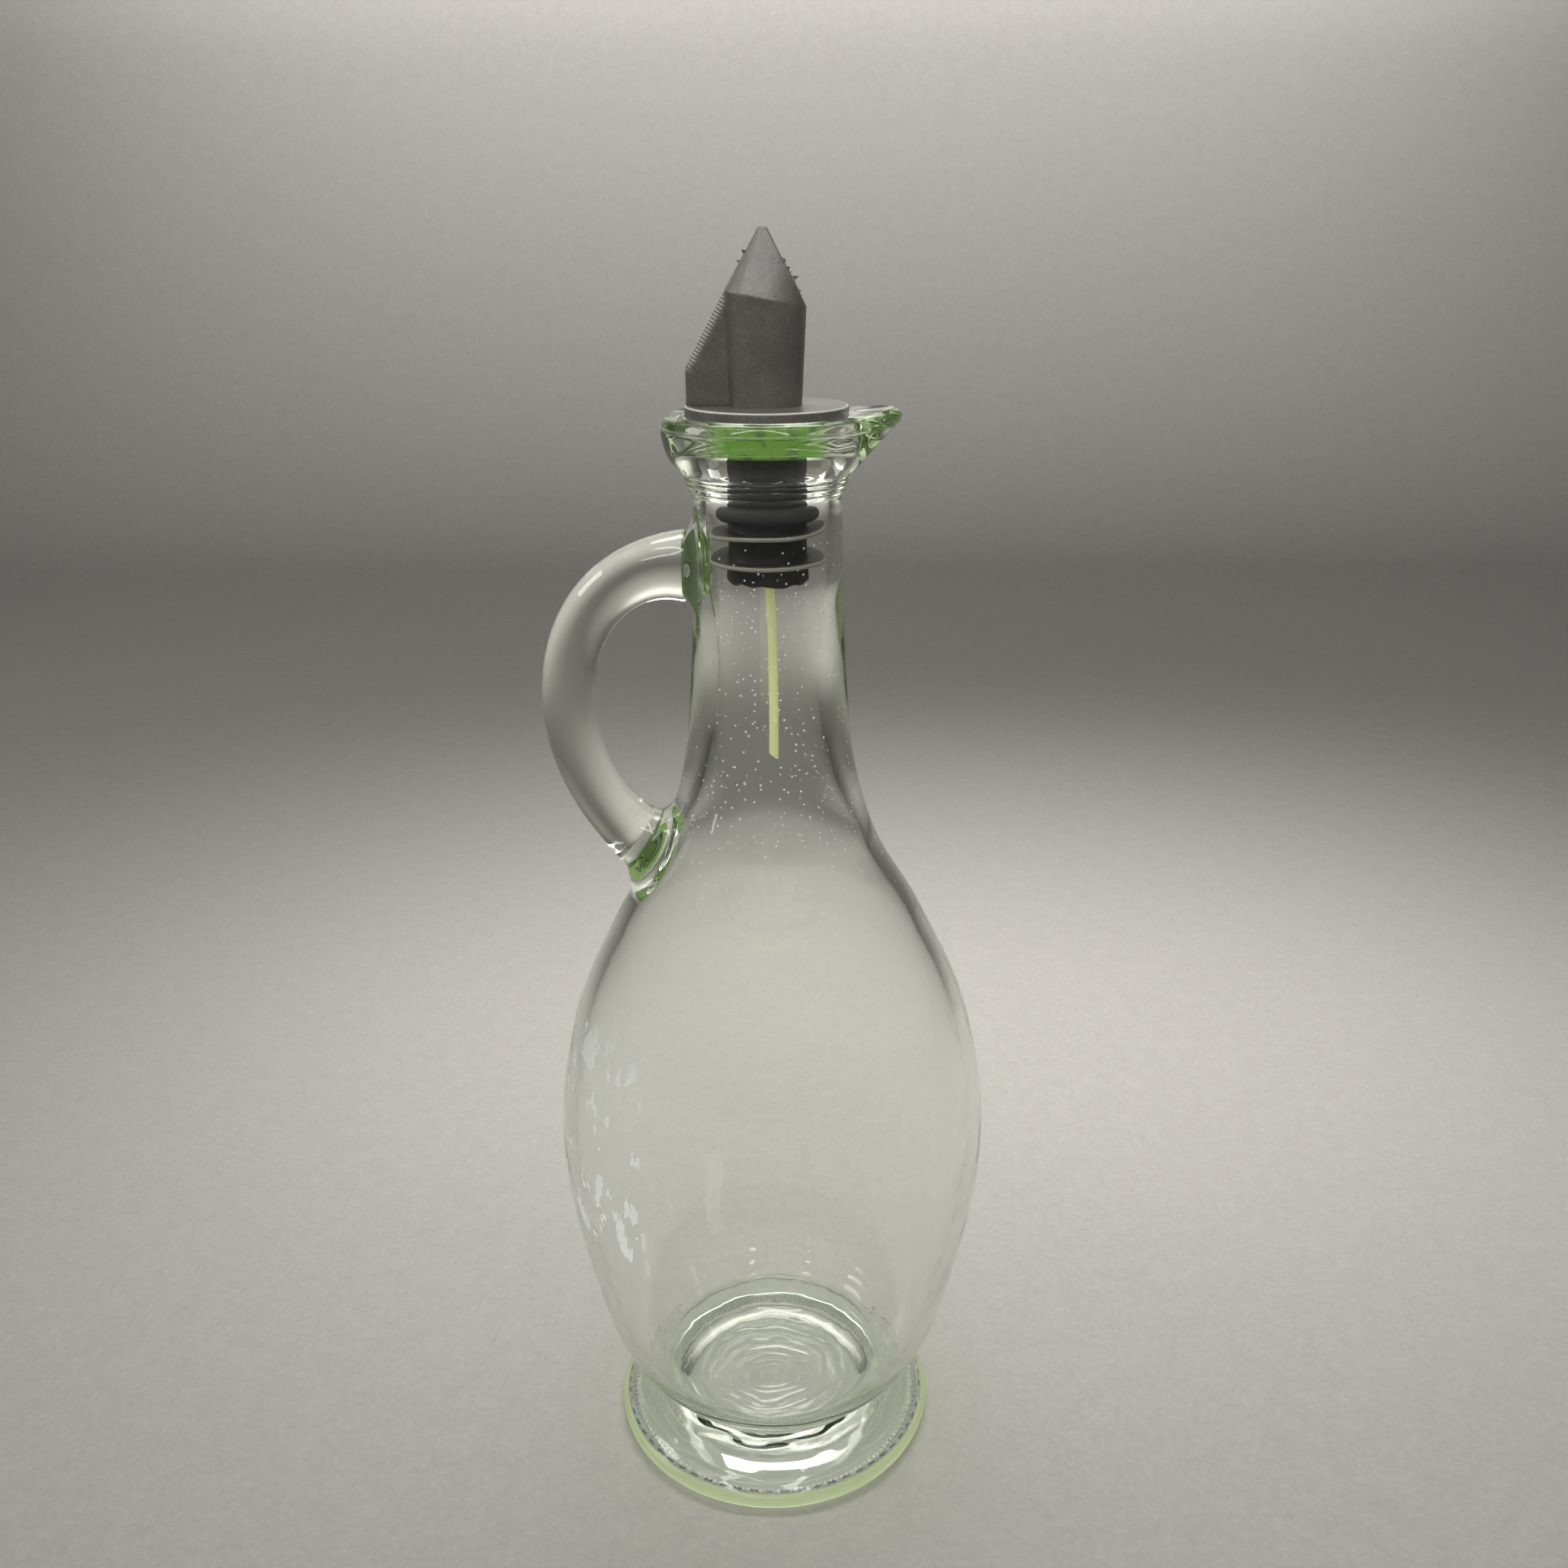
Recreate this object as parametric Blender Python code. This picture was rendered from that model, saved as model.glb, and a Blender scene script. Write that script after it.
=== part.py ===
"""Glass oil bottle with a side handle and a lift-out pourer stopper.

The bottle stands on Z = 0 with its axis on Z. The pouring lip points to +X and the handle to -X.
Every size is in metres; MM turns the millimetres that a maker would write into metres.
"""
import bpy
import bmesh
from math import atan2, cos, pi, radians, sin, sqrt
from mathutils import Matrix, Vector
from mathutils.geometry import interpolate_bezier

MM = 0.001

# Gaps between neighbours
SEAT_GAP = 0.3 * MM          # between pieces that touch on the real bottle
FIN_CLEARANCE = 0.3 * MM     # between the plug's fins and the neck's bore

# Foot of the glass
FOOT_RADIUS = 34.6 * MM
FOOT_EDGE_HEIGHT = 3.2 * MM
FOOT_EDGE_ROUND = 1.2 * MM
FOOT_EDGE_TURN = 70.0              # degrees that the edge turns before the upper slope starts
BEARING_RING_WIDTH = 4.0 * MM
UNDERSIDE_RISE = 2.6 * MM
WAIST_RADIUS = 25.4 * MM
WAIST_HEIGHT = 12.0 * MM

# Body and neck, outside
HEEL_RADIUS = 33.2 * MM
HEEL_HEIGHT = 22.0 * MM
LOWER_BODY_RADIUS = 38.3 * MM
LOWER_BODY_HEIGHT = 36.0 * MM
BELLY_RADIUS = 44.2 * MM
BELLY_HEIGHT = 72.0 * MM
UPPER_BODY_RADIUS = 40.4 * MM
UPPER_BODY_HEIGHT = 100.0 * MM
SHOULDER_RADIUS = 31.0 * MM
SHOULDER_HEIGHT = 122.0 * MM
NECK_ROOT_RADIUS = 20.9 * MM
NECK_ROOT_RISE = 18.0 * MM       # shoulder to the root of the neck
LOWER_NECK_RADIUS = 15.8 * MM
LOWER_NECK_RISE = 20.0 * MM      # root to the lower neck
NECK_RADIUS = 13.5 * MM
NECK_RISE = 46.5 * MM            # lower neck to the end of the neck, under the collar

# Collar, cup and rim, with heights counted up from the end of the neck
COLLAR_RADIUS = 15.1 * MM
COLLAR_RISE = 3.6 * MM
CUP_RADIUS = 19.0 * MM
CUP_RISE = 11.0 * MM
RIM_CREST_RADIUS = 16.9 * MM
RIM_RISE = 14.3 * MM

# Pouring lip
LIP_REACH = 5.8 * MM
LIP_LIFT = 0.9 * MM
LIP_RISE = 8.6 * MM
LIP_HALF_ANGLE = radians(36)

# Inside of the glass
WALL = 2.8 * MM
BORE_RADIUS = 11.15 * MM
MOUTH_RADIUS = 14.9 * MM
MOUTH_DEPTH = 9.5 * MM
THROAT_RADIUS = 9.4 * MM
THROAT_RISE = 11.0 * MM          # lower neck to the narrowest place of the bore
THROAT_LENGTH = 17.0 * MM
FLOOR_RADIUS = 17.0 * MM
FLOOR_THICKNESS = 6.6 * MM

# Handle: one glass rod between two pads on the bottle
HANDLE_REACH = 38.1 * MM         # axis of the bottle to the middle of the rod, at its furthest
HANDLE_TOP_DROP = 13.1 * MM      # end of the neck down to the upper end of the rod
HANDLE_TOP_STAND = 1.93 * MM     # glass of the upper pad, between the wall and the rod
HANDLE_FOOT_DROP = 0.9 * MM      # root of the neck down to the lower end of the rod
HANDLE_FOOT_STAND = 3.55 * MM
HANDLE_FOOT_DIP = radians(35)    # how far the lower end points below level
HANDLE_THICKNESS = 10.3 * MM
HANDLE_END_THICKNESS = 13.2 * MM
HANDLE_DEPTH = 10.8 * MM
PAD_LEAD = 1.4 * MM              # straight glass between a pad's face and its fairing
TOP_PAD_HEIGHT = 16.5 * MM
TOP_PAD_WIDTH = 13.0 * MM
FOOT_PAD_HEIGHT = 26.0 * MM
FOOT_PAD_WIDTH = 16.0 * MM
PAD_BITE = 1.3 * MM              # how deep a pad's root lies in the wall

# Pourer: disc, stem and spout in one moulding
DISC_RADIUS = 14.6 * MM
DISC_THICKNESS = 2.2 * MM
DISC_SINK = 0.8 * MM             # underside of the disc below the crest of the rim
STEM_RADIUS = 5.9 * MM
STEM_BORE_RADIUS = 4.7 * MM
SPOUT_BASE_RADIUS = 6.3 * MM
SPOUT_TOP_RADIUS = 7.1 * MM
SPOUT_WALL = 1.2 * MM
CREASE_RISE = 18.0 * MM          # disc to the crease, at the middle of the spout
CREASE_FALL = 0.2                # how much the crease drops for each unit towards the lip
TIP_RISE = 29.6 * MM
TIP_SETBACK = 0.4 * MM
TIP_RADIUS = 1.0 * MM
MOUTH_LOW_RISE = 16.5 * MM       # disc to the low edge of the oblique mouth
FIN_RISE = 6.0 * MM              # disc to the corner where the back fin starts to slope
FIN_THICKNESS = 5.2 * MM
FIN_EDGE = 1.9 * MM
FIN_INSET = 0.12 * MM

# Bush that holds the vent tube in the stem
BUSH_RADIUS = 2.0 * MM
BUSH_HEIGHT = 3.0 * MM
RIB_THICKNESS = 1.0 * MM
RIB_COUNT = 3

# Soft sealing plug around the stem
PLUG_RADIUS = 7.2 * MM
PLUG_LENGTH = 29.2 * MM
PLUG_END_RADIUS = 7.6 * MM
PLUG_END_HEIGHT = 3.0 * MM
BULGE_RADIUS = 9.35 * MM
BULGE_HEIGHT = 3.9 * MM
BULGE_DROP = 16.0 * MM           # disc to the middle of the bulge
UPPER_SEAL_DROP = 20.2 * MM
LOWER_SEAL_DROP = 25.4 * MM
SEAL_THICKNESS = 1.0 * MM
SEAL_DISH = 0.7 * MM

# Vent tube
TUBE_RADIUS = 0.9 * MM
TUBE_BORE_RADIUS = 0.5 * MM
TUBE_LENGTH = 38.5 * MM
TUBE_TOP_STAND = 1.0 * MM        # tube above the bush
TUBE_LEAN = radians(1.3)
TUBE_CUT = radians(35)

# Facets
BOTTLE_SEGMENTS = 40
PLUG_SEGMENTS = 28
SPOUT_SEGMENTS = 32
TUBE_SEGMENTS = 12
HANDLE_SIDES = 18
HANDLE_STEPS = 18
PAD_STEPS = 3
CURVE_STEPS = 3
SHARP_ANGLE = radians(35)

# Heights that follow from the driving sizes
NECK_ROOT_HEIGHT = SHOULDER_HEIGHT + NECK_ROOT_RISE
LOWER_NECK_HEIGHT = NECK_ROOT_HEIGHT + LOWER_NECK_RISE
NECK_HEIGHT = LOWER_NECK_HEIGHT + NECK_RISE
THROAT_HEIGHT = LOWER_NECK_HEIGHT + THROAT_RISE
HANDLE_TOP_HEIGHT = NECK_HEIGHT - HANDLE_TOP_DROP
HANDLE_FOOT_HEIGHT = NECK_ROOT_HEIGHT - HANDLE_FOOT_DROP
COLLAR_HEIGHT = NECK_HEIGHT + COLLAR_RISE
RIM_HEIGHT = NECK_HEIGHT + RIM_RISE
DISC_UNDERSIDE = RIM_HEIGHT - DISC_SINK
DISC_TOP = DISC_UNDERSIDE + DISC_THICKNESS
PLUG_TOP = DISC_UNDERSIDE - SEAT_GAP
PLUG_BOTTOM = DISC_UNDERSIDE - PLUG_LENGTH
STEM_BOTTOM = PLUG_BOTTOM + SEAT_GAP


def clear_scene():
    for obj in list(bpy.data.objects):
        bpy.data.objects.remove(obj, do_unlink=True)


def make_material(name, colour, roughness, transmission=0.0):
    material = bpy.data.materials.new(name)
    material.use_nodes = True
    shader = material.node_tree.nodes["Principled BSDF"]
    shader.inputs["Base Color"].default_value = (*colour, 1.0)
    shader.inputs["Roughness"].default_value = roughness
    shader.inputs["Metallic"].default_value = 0.0
    shader.inputs["Transmission Weight"].default_value = transmission
    material.diffuse_color = (*colour, 1.0)
    return material


def object_from(name, mesh_data):
    mesh = bpy.data.meshes.new(name)
    bmesh.ops.recalc_face_normals(mesh_data, faces=mesh_data.faces)
    mesh_data.to_mesh(mesh)
    mesh_data.free()
    obj = bpy.data.objects.new(name, mesh)
    bpy.context.collection.objects.link(obj)
    return obj


def smooth_curve(knots, steps=CURVE_STEPS):
    """Points along a smooth curve through the knots, each a (radius, height) pair."""
    points = [Vector((radius, 0.0, height)) for radius, height in knots]
    slopes = []
    for index, point in enumerate(points):
        before = points[max(index - 1, 0)]
        after = points[min(index + 1, len(points) - 1)]
        slopes.append((after - before).normalized())
    curve = []
    for index in range(len(points) - 1):
        start, end = points[index], points[index + 1]
        reach = (end - start).length / 3
        piece = interpolate_bezier(
            start, start + slopes[index] * reach, end - slopes[index + 1] * reach, end, steps + 1)
        curve += [(point.x, point.z) for point in piece[:-1]]
    return curve + [(points[-1].x, points[-1].z)]


def arc(centre_radius, centre_height, size, start, end, steps):
    """Points on a round stretch of an outline, with angles in degrees from the outward direction."""
    points = []
    for step in range(steps + 1):
        angle = radians(start + (end - start) * step / steps)
        points.append((centre_radius + size * cos(angle), centre_height + size * sin(angle)))
    return points


def turn(name, outline, segments, closed=False):
    """Turn an outline of (radius, height) pairs about Z; a closed one makes a ring."""
    work = bmesh.new()
    points = [work.verts.new((radius, 0.0, height)) for radius, height in outline]
    pairs = list(zip(points, points[1:]))
    if closed:
        pairs.append((points[-1], points[0]))
    edges = [work.edges.new(pair) for pair in pairs]
    bmesh.ops.spin(work, geom=points + edges, axis=(0, 0, 1), cent=(0, 0, 0),
                   angle=2 * pi, steps=segments, use_merge=True)
    bmesh.ops.remove_doubles(work, verts=work.verts, dist=0.001 * MM)
    return object_from(name, work)


def loft(name, rings):
    """Skin a list of rings that have the same number of points, and close both ends."""
    work = bmesh.new()
    rows = [[work.verts.new(point) for point in ring] for ring in rings]
    count = len(rows[0])
    for low, high in zip(rows, rows[1:]):
        for index in range(count):
            following = (index + 1) % count
            work.faces.new((low[index], low[following], high[following], high[index]))
    for row in (rows[0], rows[-1]):
        centre = work.verts.new(sum((vert.co for vert in row), Vector()) / count)
        for index in range(count):
            work.faces.new((row[index], row[(index + 1) % count], centre))
    return object_from(name, work)


def combine(target, other, operation):
    """Cut another solid from the target, or join it on, and keep the other as a guide."""
    other.hide_render = True
    other.display_type = 'WIRE'
    modifier = target.modifiers.new(operation.title(), 'BOOLEAN')
    modifier.operation = operation
    modifier.solver = 'EXACT'
    modifier.object = other


def finish(obj, material):
    obj.data.shade_smooth()
    obj.data.set_sharp_from_angle(angle=SHARP_ANGLE)
    obj.data.materials.append(material)


# ---------------------------------------------------------------- glass bottle

BODY_KNOTS = [
    (WAIST_RADIUS, WAIST_HEIGHT),
    (HEEL_RADIUS, HEEL_HEIGHT),
    (LOWER_BODY_RADIUS, LOWER_BODY_HEIGHT),
    (BELLY_RADIUS, BELLY_HEIGHT),
    (UPPER_BODY_RADIUS, UPPER_BODY_HEIGHT),
    (SHOULDER_RADIUS, SHOULDER_HEIGHT),
    (NECK_ROOT_RADIUS, NECK_ROOT_HEIGHT),
    (LOWER_NECK_RADIUS, LOWER_NECK_HEIGHT),
    (NECK_RADIUS, NECK_HEIGHT),
]
BODY_OUTLINE = smooth_curve(BODY_KNOTS)


def outside_radius(height):
    """Radius of the glass at a height between the waist and the end of the neck."""
    for (low_radius, low), (high_radius, high) in zip(BODY_OUTLINE, BODY_OUTLINE[1:]):
        if low <= height <= high:
            return low_radius + (high_radius - low_radius) * (height - low) / (high - low)
    return NECK_RADIUS


def foot_outline():
    """Underside, bearing ring, edge and upper slope of the foot, from the axis to the waist."""
    ring_outside = FOOT_RADIUS - FOOT_EDGE_ROUND
    ring_inside = ring_outside - BEARING_RING_WIDTH
    underside = smooth_curve([
        (0.0, UNDERSIDE_RISE),
        (ring_inside / 2, UNDERSIDE_RISE * 0.9),
        (ring_inside - UNDERSIDE_RISE / 2, UNDERSIDE_RISE * 0.4),
        (ring_inside, 0.0),
    ], 1)
    low_edge = arc(ring_outside, FOOT_EDGE_ROUND, FOOT_EDGE_ROUND, -90, 0, 2)
    high_edge = arc(ring_outside, FOOT_EDGE_HEIGHT - FOOT_EDGE_ROUND / 2, FOOT_EDGE_ROUND,
                    0, FOOT_EDGE_TURN, 2)
    slope = smooth_curve([
        high_edge[-1],
        ((FOOT_RADIUS + WAIST_RADIUS) / 2, (FOOT_EDGE_HEIGHT + WAIST_HEIGHT) / 2 - UNDERSIDE_RISE / 4),
        (WAIST_RADIUS, WAIST_HEIGHT),
    ], 2)
    return underside + low_edge + high_edge + slope[1:-1]


def mouth_outline():
    """Collar bead, cup and rim outside, then the rounded funnel down to the bore."""
    collar = smooth_curve([
        (NECK_RADIUS, NECK_HEIGHT),
        (COLLAR_RADIUS - COLLAR_RISE / 8, COLLAR_HEIGHT - COLLAR_RISE / 2),
        (COLLAR_RADIUS, COLLAR_HEIGHT),
    ], 2)
    cup = smooth_curve([
        (COLLAR_RADIUS, COLLAR_HEIGHT),
        ((COLLAR_RADIUS + CUP_RADIUS * 2) / 3, NECK_HEIGHT + (COLLAR_RISE + CUP_RISE) * 0.45),
        (CUP_RADIUS, NECK_HEIGHT + CUP_RISE),
        (CUP_RADIUS - RIM_RISE / 20, RIM_HEIGHT - RIM_RISE / 16),
        (RIM_CREST_RADIUS, RIM_HEIGHT),
    ], 2)
    funnel = smooth_curve([
        (RIM_CREST_RADIUS, RIM_HEIGHT),
        (MOUTH_RADIUS, RIM_HEIGHT - DISC_SINK - SEAT_GAP - (MOUTH_RADIUS - DISC_RADIUS)),
        ((BORE_RADIUS * 2 + MOUTH_RADIUS) / 3, RIM_HEIGHT - MOUTH_DEPTH * 0.55),
        (BORE_RADIUS, RIM_HEIGHT - MOUTH_DEPTH),
    ], 2)
    return collar[1:-1] + cup + funnel[1:]


def cavity_outline():
    """Bore, throat, inside of the wall and floor, from the funnel down to the axis."""
    neck = smooth_curve([
        (BORE_RADIUS, PLUG_BOTTOM),
        (THROAT_RADIUS, THROAT_HEIGHT),
        (outside_radius(THROAT_HEIGHT - THROAT_LENGTH) - WALL * 1.9, THROAT_HEIGHT - THROAT_LENGTH),
    ], 2)
    wall = []
    for lower, point, upper in zip(BODY_OUTLINE, BODY_OUTLINE[1:], BODY_OUTLINE[2:]):
        along = Vector((upper[0] - lower[0], upper[1] - lower[1])).normalized()
        inside = (point[0] - WALL * along.y, point[1] + WALL * along.x)
        if HEEL_HEIGHT - WALL * 3 < point[1] < NECK_ROOT_HEIGHT + WALL:
            wall.append(inside)
    wall.reverse()
    floor = smooth_curve([
        wall[-1],
        ((wall[-1][0] + FLOOR_RADIUS * 2) / 3, FLOOR_THICKNESS + WALL * 0.6),
        (FLOOR_RADIUS, FLOOR_THICKNESS),
        (0.0, FLOOR_THICKNESS),
    ], 2)
    return neck + wall + floor[1:]


def pull_lip(obj):
    """Draw the cup and rim out into the pouring lip."""
    lip_start = RIM_HEIGHT - LIP_RISE
    for vert in obj.data.vertices:
        angle = atan2(vert.co.y, vert.co.x)
        if vert.co.z <= lip_start or abs(angle) >= LIP_HALF_ANGLE:
            continue
        share = min((vert.co.z - lip_start) / (LIP_RISE * 0.85), 1.0) ** 1.5
        spread = cos(angle / LIP_HALF_ANGLE * pi / 2) ** 2
        radius = Vector((vert.co.x, vert.co.y)).length
        grown = (radius + LIP_REACH * share * spread) / radius
        vert.co.x *= grown
        vert.co.y *= grown
        vert.co.z += LIP_LIFT * share * spread


def oval(centre, across, half_across, half_depth, sides=HANDLE_SIDES):
    """Ring of points around an oval in the plane of `across` and Y."""
    points = []
    for side in range(sides):
        angle = 2 * pi * side / sides
        points.append(centre + across * (half_across * cos(angle))
                      + Vector((0.0, half_depth * sin(angle), 0.0)))
    return points


def in_wall(height, offset):
    """Point just under the outside of the glass on the handle's side."""
    radius = outside_radius(height) - PAD_BITE
    return Vector((-sqrt(radius ** 2 - offset ** 2), offset, height))


def pad(name, face_centre, direction, root_height, root_length, root_width):
    """Glass that fairs from the end face of the handle into the wall."""
    across = Vector((direction.z, 0.0, -direction.x))
    if across.z < 0:
        across.negate()
    face = oval(face_centre, across, HANDLE_END_THICKNESS / 2, HANDLE_DEPTH * 0.56)
    root = []
    for side in range(HANDLE_SIDES):
        angle = 2 * pi * side / HANDLE_SIDES
        root.append(in_wall(root_height + root_length / 2 * cos(angle), root_width / 2 * sin(angle)))
    rings = []
    for step in range(PAD_STEPS + 1):
        share = step / PAD_STEPS
        ring = []
        for start, end in zip(face, root):
            bend = (start + end) / 2 + direction * PAD_LEAD
            ring.append(start * (1 - share) ** 2 + bend * (2 * share * (1 - share)) + end * share ** 2)
        rings.append(ring)
    return loft(name, rings)


TOP_DIRECTION = Vector((1.0, 0.0, 0.0))
FOOT_DIRECTION = Vector((cos(HANDLE_FOOT_DIP), 0.0, -sin(HANDLE_FOOT_DIP)))
HANDLE_TOP_REACH = outside_radius(HANDLE_TOP_HEIGHT) + HANDLE_TOP_STAND
HANDLE_FOOT_REACH = outside_radius(HANDLE_FOOT_HEIGHT) + HANDLE_FOOT_STAND
TOP_END = Vector((-HANDLE_TOP_REACH, 0.0, HANDLE_TOP_HEIGHT))
FOOT_END = Vector((-HANDLE_FOOT_REACH, 0.0, HANDLE_FOOT_HEIGHT))


def make_bottle(glass):
    outline = foot_outline() + BODY_OUTLINE + mouth_outline() + cavity_outline()
    bottle = turn("glass_bottle", outline, BOTTLE_SEGMENTS)
    pull_lip(bottle)
    top_pad = pad("handle_top_pad", TOP_END + TOP_DIRECTION * SEAT_GAP, TOP_DIRECTION,
                  HANDLE_TOP_HEIGHT, TOP_PAD_HEIGHT, TOP_PAD_WIDTH)
    foot_pad = pad("handle_foot_pad", FOOT_END + FOOT_DIRECTION * SEAT_GAP, FOOT_DIRECTION,
                   HANDLE_FOOT_HEIGHT - HANDLE_END_THICKNESS / 4, FOOT_PAD_HEIGHT, FOOT_PAD_WIDTH)
    combine(bottle, top_pad, 'UNION')
    combine(bottle, foot_pad, 'UNION')
    finish(bottle, glass)


# ---------------------------------------------------------------- glass handle

def make_handle(glass):
    rise = HANDLE_TOP_HEIGHT - HANDLE_FOOT_HEIGHT
    swing = HANDLE_REACH - HANDLE_TOP_REACH
    middle = Vector((-HANDLE_REACH, 0.0, HANDLE_FOOT_HEIGHT + rise * 0.52))
    upper = interpolate_bezier(
        TOP_END, TOP_END - TOP_DIRECTION * swing * 0.62, middle + Vector((0, 0, rise * 0.27)),
        middle, HANDLE_STEPS // 2 + 1)
    lower = interpolate_bezier(
        middle, middle - Vector((0, 0, rise * 0.25)), FOOT_END - FOOT_DIRECTION * swing * 0.3,
        FOOT_END, HANDLE_STEPS // 2 + 1)
    centres = upper + lower[1:]
    rings = []
    for index, centre in enumerate(centres):
        along = centres[min(index + 1, HANDLE_STEPS)] - centres[max(index - 1, 0)]
        if index == 0:
            along = -TOP_DIRECTION
        if index == HANDLE_STEPS:
            along = FOOT_DIRECTION
        along.normalize()
        across = Vector((-along.z, 0.0, along.x))
        spread = abs(2 * index / HANDLE_STEPS - 1) ** 5
        thickness = HANDLE_THICKNESS + (HANDLE_END_THICKNESS - HANDLE_THICKNESS) * spread
        rings.append(oval(centre, across, thickness / 2, HANDLE_DEPTH / 2))
    handle = loft("glass_handle", rings)
    finish(handle, glass)


# ---------------------------------------------------------------- pourer

def crease_height(reach):
    return DISC_TOP + CREASE_RISE - CREASE_FALL * reach


def spout_form(name, inset, base):
    """Round spout that leans in above its crease to a tip; the inset makes the hollow inside it."""
    rings = []
    low_radius = min(SPOUT_BASE_RADIUS - inset, SPOUT_TOP_RADIUS)
    high_radius = SPOUT_TOP_RADIUS - inset
    tip_radius = TIP_RADIUS * (high_radius / SPOUT_TOP_RADIUS) ** 2
    tip_height = DISC_TOP + TIP_RISE - inset * 2
    angles = [2 * pi * side / SPOUT_SEGMENTS for side in range(SPOUT_SEGMENTS)]
    for share in (0.0, 0.35, 0.7, 1.0):
        radius = low_radius + (high_radius - low_radius) * share
        ring = []
        for angle in angles:
            reach = radius * cos(angle)
            height = base + (crease_height(reach) - base) * share
            ring.append(Vector((reach, radius * sin(angle), height)))
        rings.append(ring)
    for share in (0.25, 0.5, 0.75, 0.92, 1.0):
        radius = high_radius + (tip_radius - high_radius) * share
        ring = []
        for angle in angles:
            start = crease_height(high_radius * cos(angle))
            reach = high_radius * cos(angle)
            if reach < 0:
                reach = radius * cos(angle) - TIP_SETBACK * share
            ring.append(Vector((reach, radius * sin(angle), start + (tip_height - start) * share)))
        rings.append(ring)
    return loft(name, rings)


def mouth_cutter():
    """Block above the oblique plane of the spout's mouth, which faces the pouring lip."""
    low = Vector((SPOUT_TOP_RADIUS, 0.0, DISC_TOP + MOUTH_LOW_RISE))
    tip = Vector((-TIP_SETBACK + TIP_RADIUS * 0.8, 0.0, DISC_TOP + TIP_RISE))
    slope = (tip - low).normalized()
    outward = Vector((slope.z, 0.0, -slope.x))
    size = TIP_RISE * 1.5
    work = bmesh.new()
    bmesh.ops.create_cube(work, size=size)
    turn_to_plane = Matrix((outward, Vector((0, 1, 0)), slope)).transposed().to_4x4()
    place = Matrix.Translation((low + tip) / 2 + outward * size / 2)
    bmesh.ops.transform(work, matrix=place @ turn_to_plane, verts=work.verts)
    return object_from("spout_mouth_cutter", work)


def back_fin():
    """Upright fin behind the spout, with a sloping rounded back that rises in line with the tip."""
    reach = DISC_RADIUS - FIN_INSET
    corner = (-reach, DISC_TOP + FIN_RISE)
    crease = (-SPOUT_TOP_RADIUS, crease_height(-SPOUT_TOP_RADIUS) - FIN_INSET)
    root = -SPOUT_BASE_RADIUS / 2
    outline = [
        (root, DISC_TOP - DISC_THICKNESS / 2),
        (-reach, DISC_TOP - DISC_THICKNESS / 2),
        corner,
        crease,
        (root, crease[1]),
    ]
    work = bmesh.new()
    side = work.faces.new([work.verts.new((x, -FIN_THICKNESS / 2, z)) for x, z in outline])
    grown = bmesh.ops.extrude_face_region(work, geom=[side])
    moved = [item for item in grown["geom"] if isinstance(item, bmesh.types.BMVert)]
    bmesh.ops.translate(work, vec=(0, FIN_THICKNESS, 0), verts=moved)
    bmesh.ops.recalc_face_normals(work, faces=work.faces)
    rounded = []
    for edge in work.edges:
        ends = [vert.co for vert in edge.verts]
        lengthwise = abs(ends[0].y - ends[1].y) < MM / 10
        on_back = all(end.x < -SPOUT_BASE_RADIUS and end.z > DISC_TOP - DISC_THICKNESS for end in ends)
        if lengthwise and on_back and abs(ends[0].z - ends[1].z) > MM:
            rounded.append(edge)
    bmesh.ops.bevel(work, geom=rounded, offset=FIN_EDGE, segments=3, profile=0.5, affect='EDGES')
    return object_from("spout_back_fin", work)


def make_pourer(plastic):
    stem_outline = [
        (STEM_BORE_RADIUS, STEM_BOTTOM),
        (STEM_RADIUS, STEM_BOTTOM),
        (STEM_RADIUS, DISC_UNDERSIDE),
        (DISC_RADIUS, DISC_UNDERSIDE),
        (DISC_RADIUS, DISC_TOP),
        (STEM_BORE_RADIUS, DISC_TOP),
    ]
    pourer = turn("pourer_spout", stem_outline, SPOUT_SEGMENTS * 3 // 2, closed=True)
    spout = spout_form("spout_outside", 0.0, DISC_TOP - DISC_THICKNESS / 2)
    combine(pourer, spout, 'UNION')
    combine(pourer, back_fin(), 'UNION')
    hollow = spout_form("spout_inside", SPOUT_WALL, DISC_UNDERSIDE - SEAT_GAP)
    combine(pourer, hollow, 'DIFFERENCE')
    combine(pourer, mouth_cutter(), 'DIFFERENCE')
    bush_bottom = STEM_BOTTOM + SEAT_GAP
    tube_hole = TUBE_RADIUS + SEAT_GAP
    bush = turn("vent_bush", [
        (tube_hole, bush_bottom),
        (BUSH_RADIUS, bush_bottom),
        (BUSH_RADIUS, bush_bottom + BUSH_HEIGHT),
        (tube_hole, bush_bottom + BUSH_HEIGHT),
    ], TUBE_SEGMENTS, closed=True)
    for index in range(RIB_COUNT):
        inner = (tube_hole + BUSH_RADIUS) / 2
        outer = (STEM_BORE_RADIUS + STEM_RADIUS) / 2
        work = bmesh.new()
        bmesh.ops.create_cube(work, size=1.0)
        size = Matrix.Diagonal((outer - inner, RIB_THICKNESS, BUSH_HEIGHT - SEAT_GAP, 1.0))
        shift = Matrix.Translation(((inner + outer) / 2, 0.0, bush_bottom + BUSH_HEIGHT / 2))
        spin = Matrix.Rotation(2 * pi * (index + 0.5) / RIB_COUNT, 4, 'Z')
        bmesh.ops.transform(work, matrix=spin @ shift @ size, verts=work.verts)
        combine(pourer, object_from(f"vent_bush_rib_{index + 1}", work), 'UNION')
    combine(pourer, bush, 'UNION')
    finish(pourer, plastic)


# ---------------------------------------------------------------- sealing plug

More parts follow.
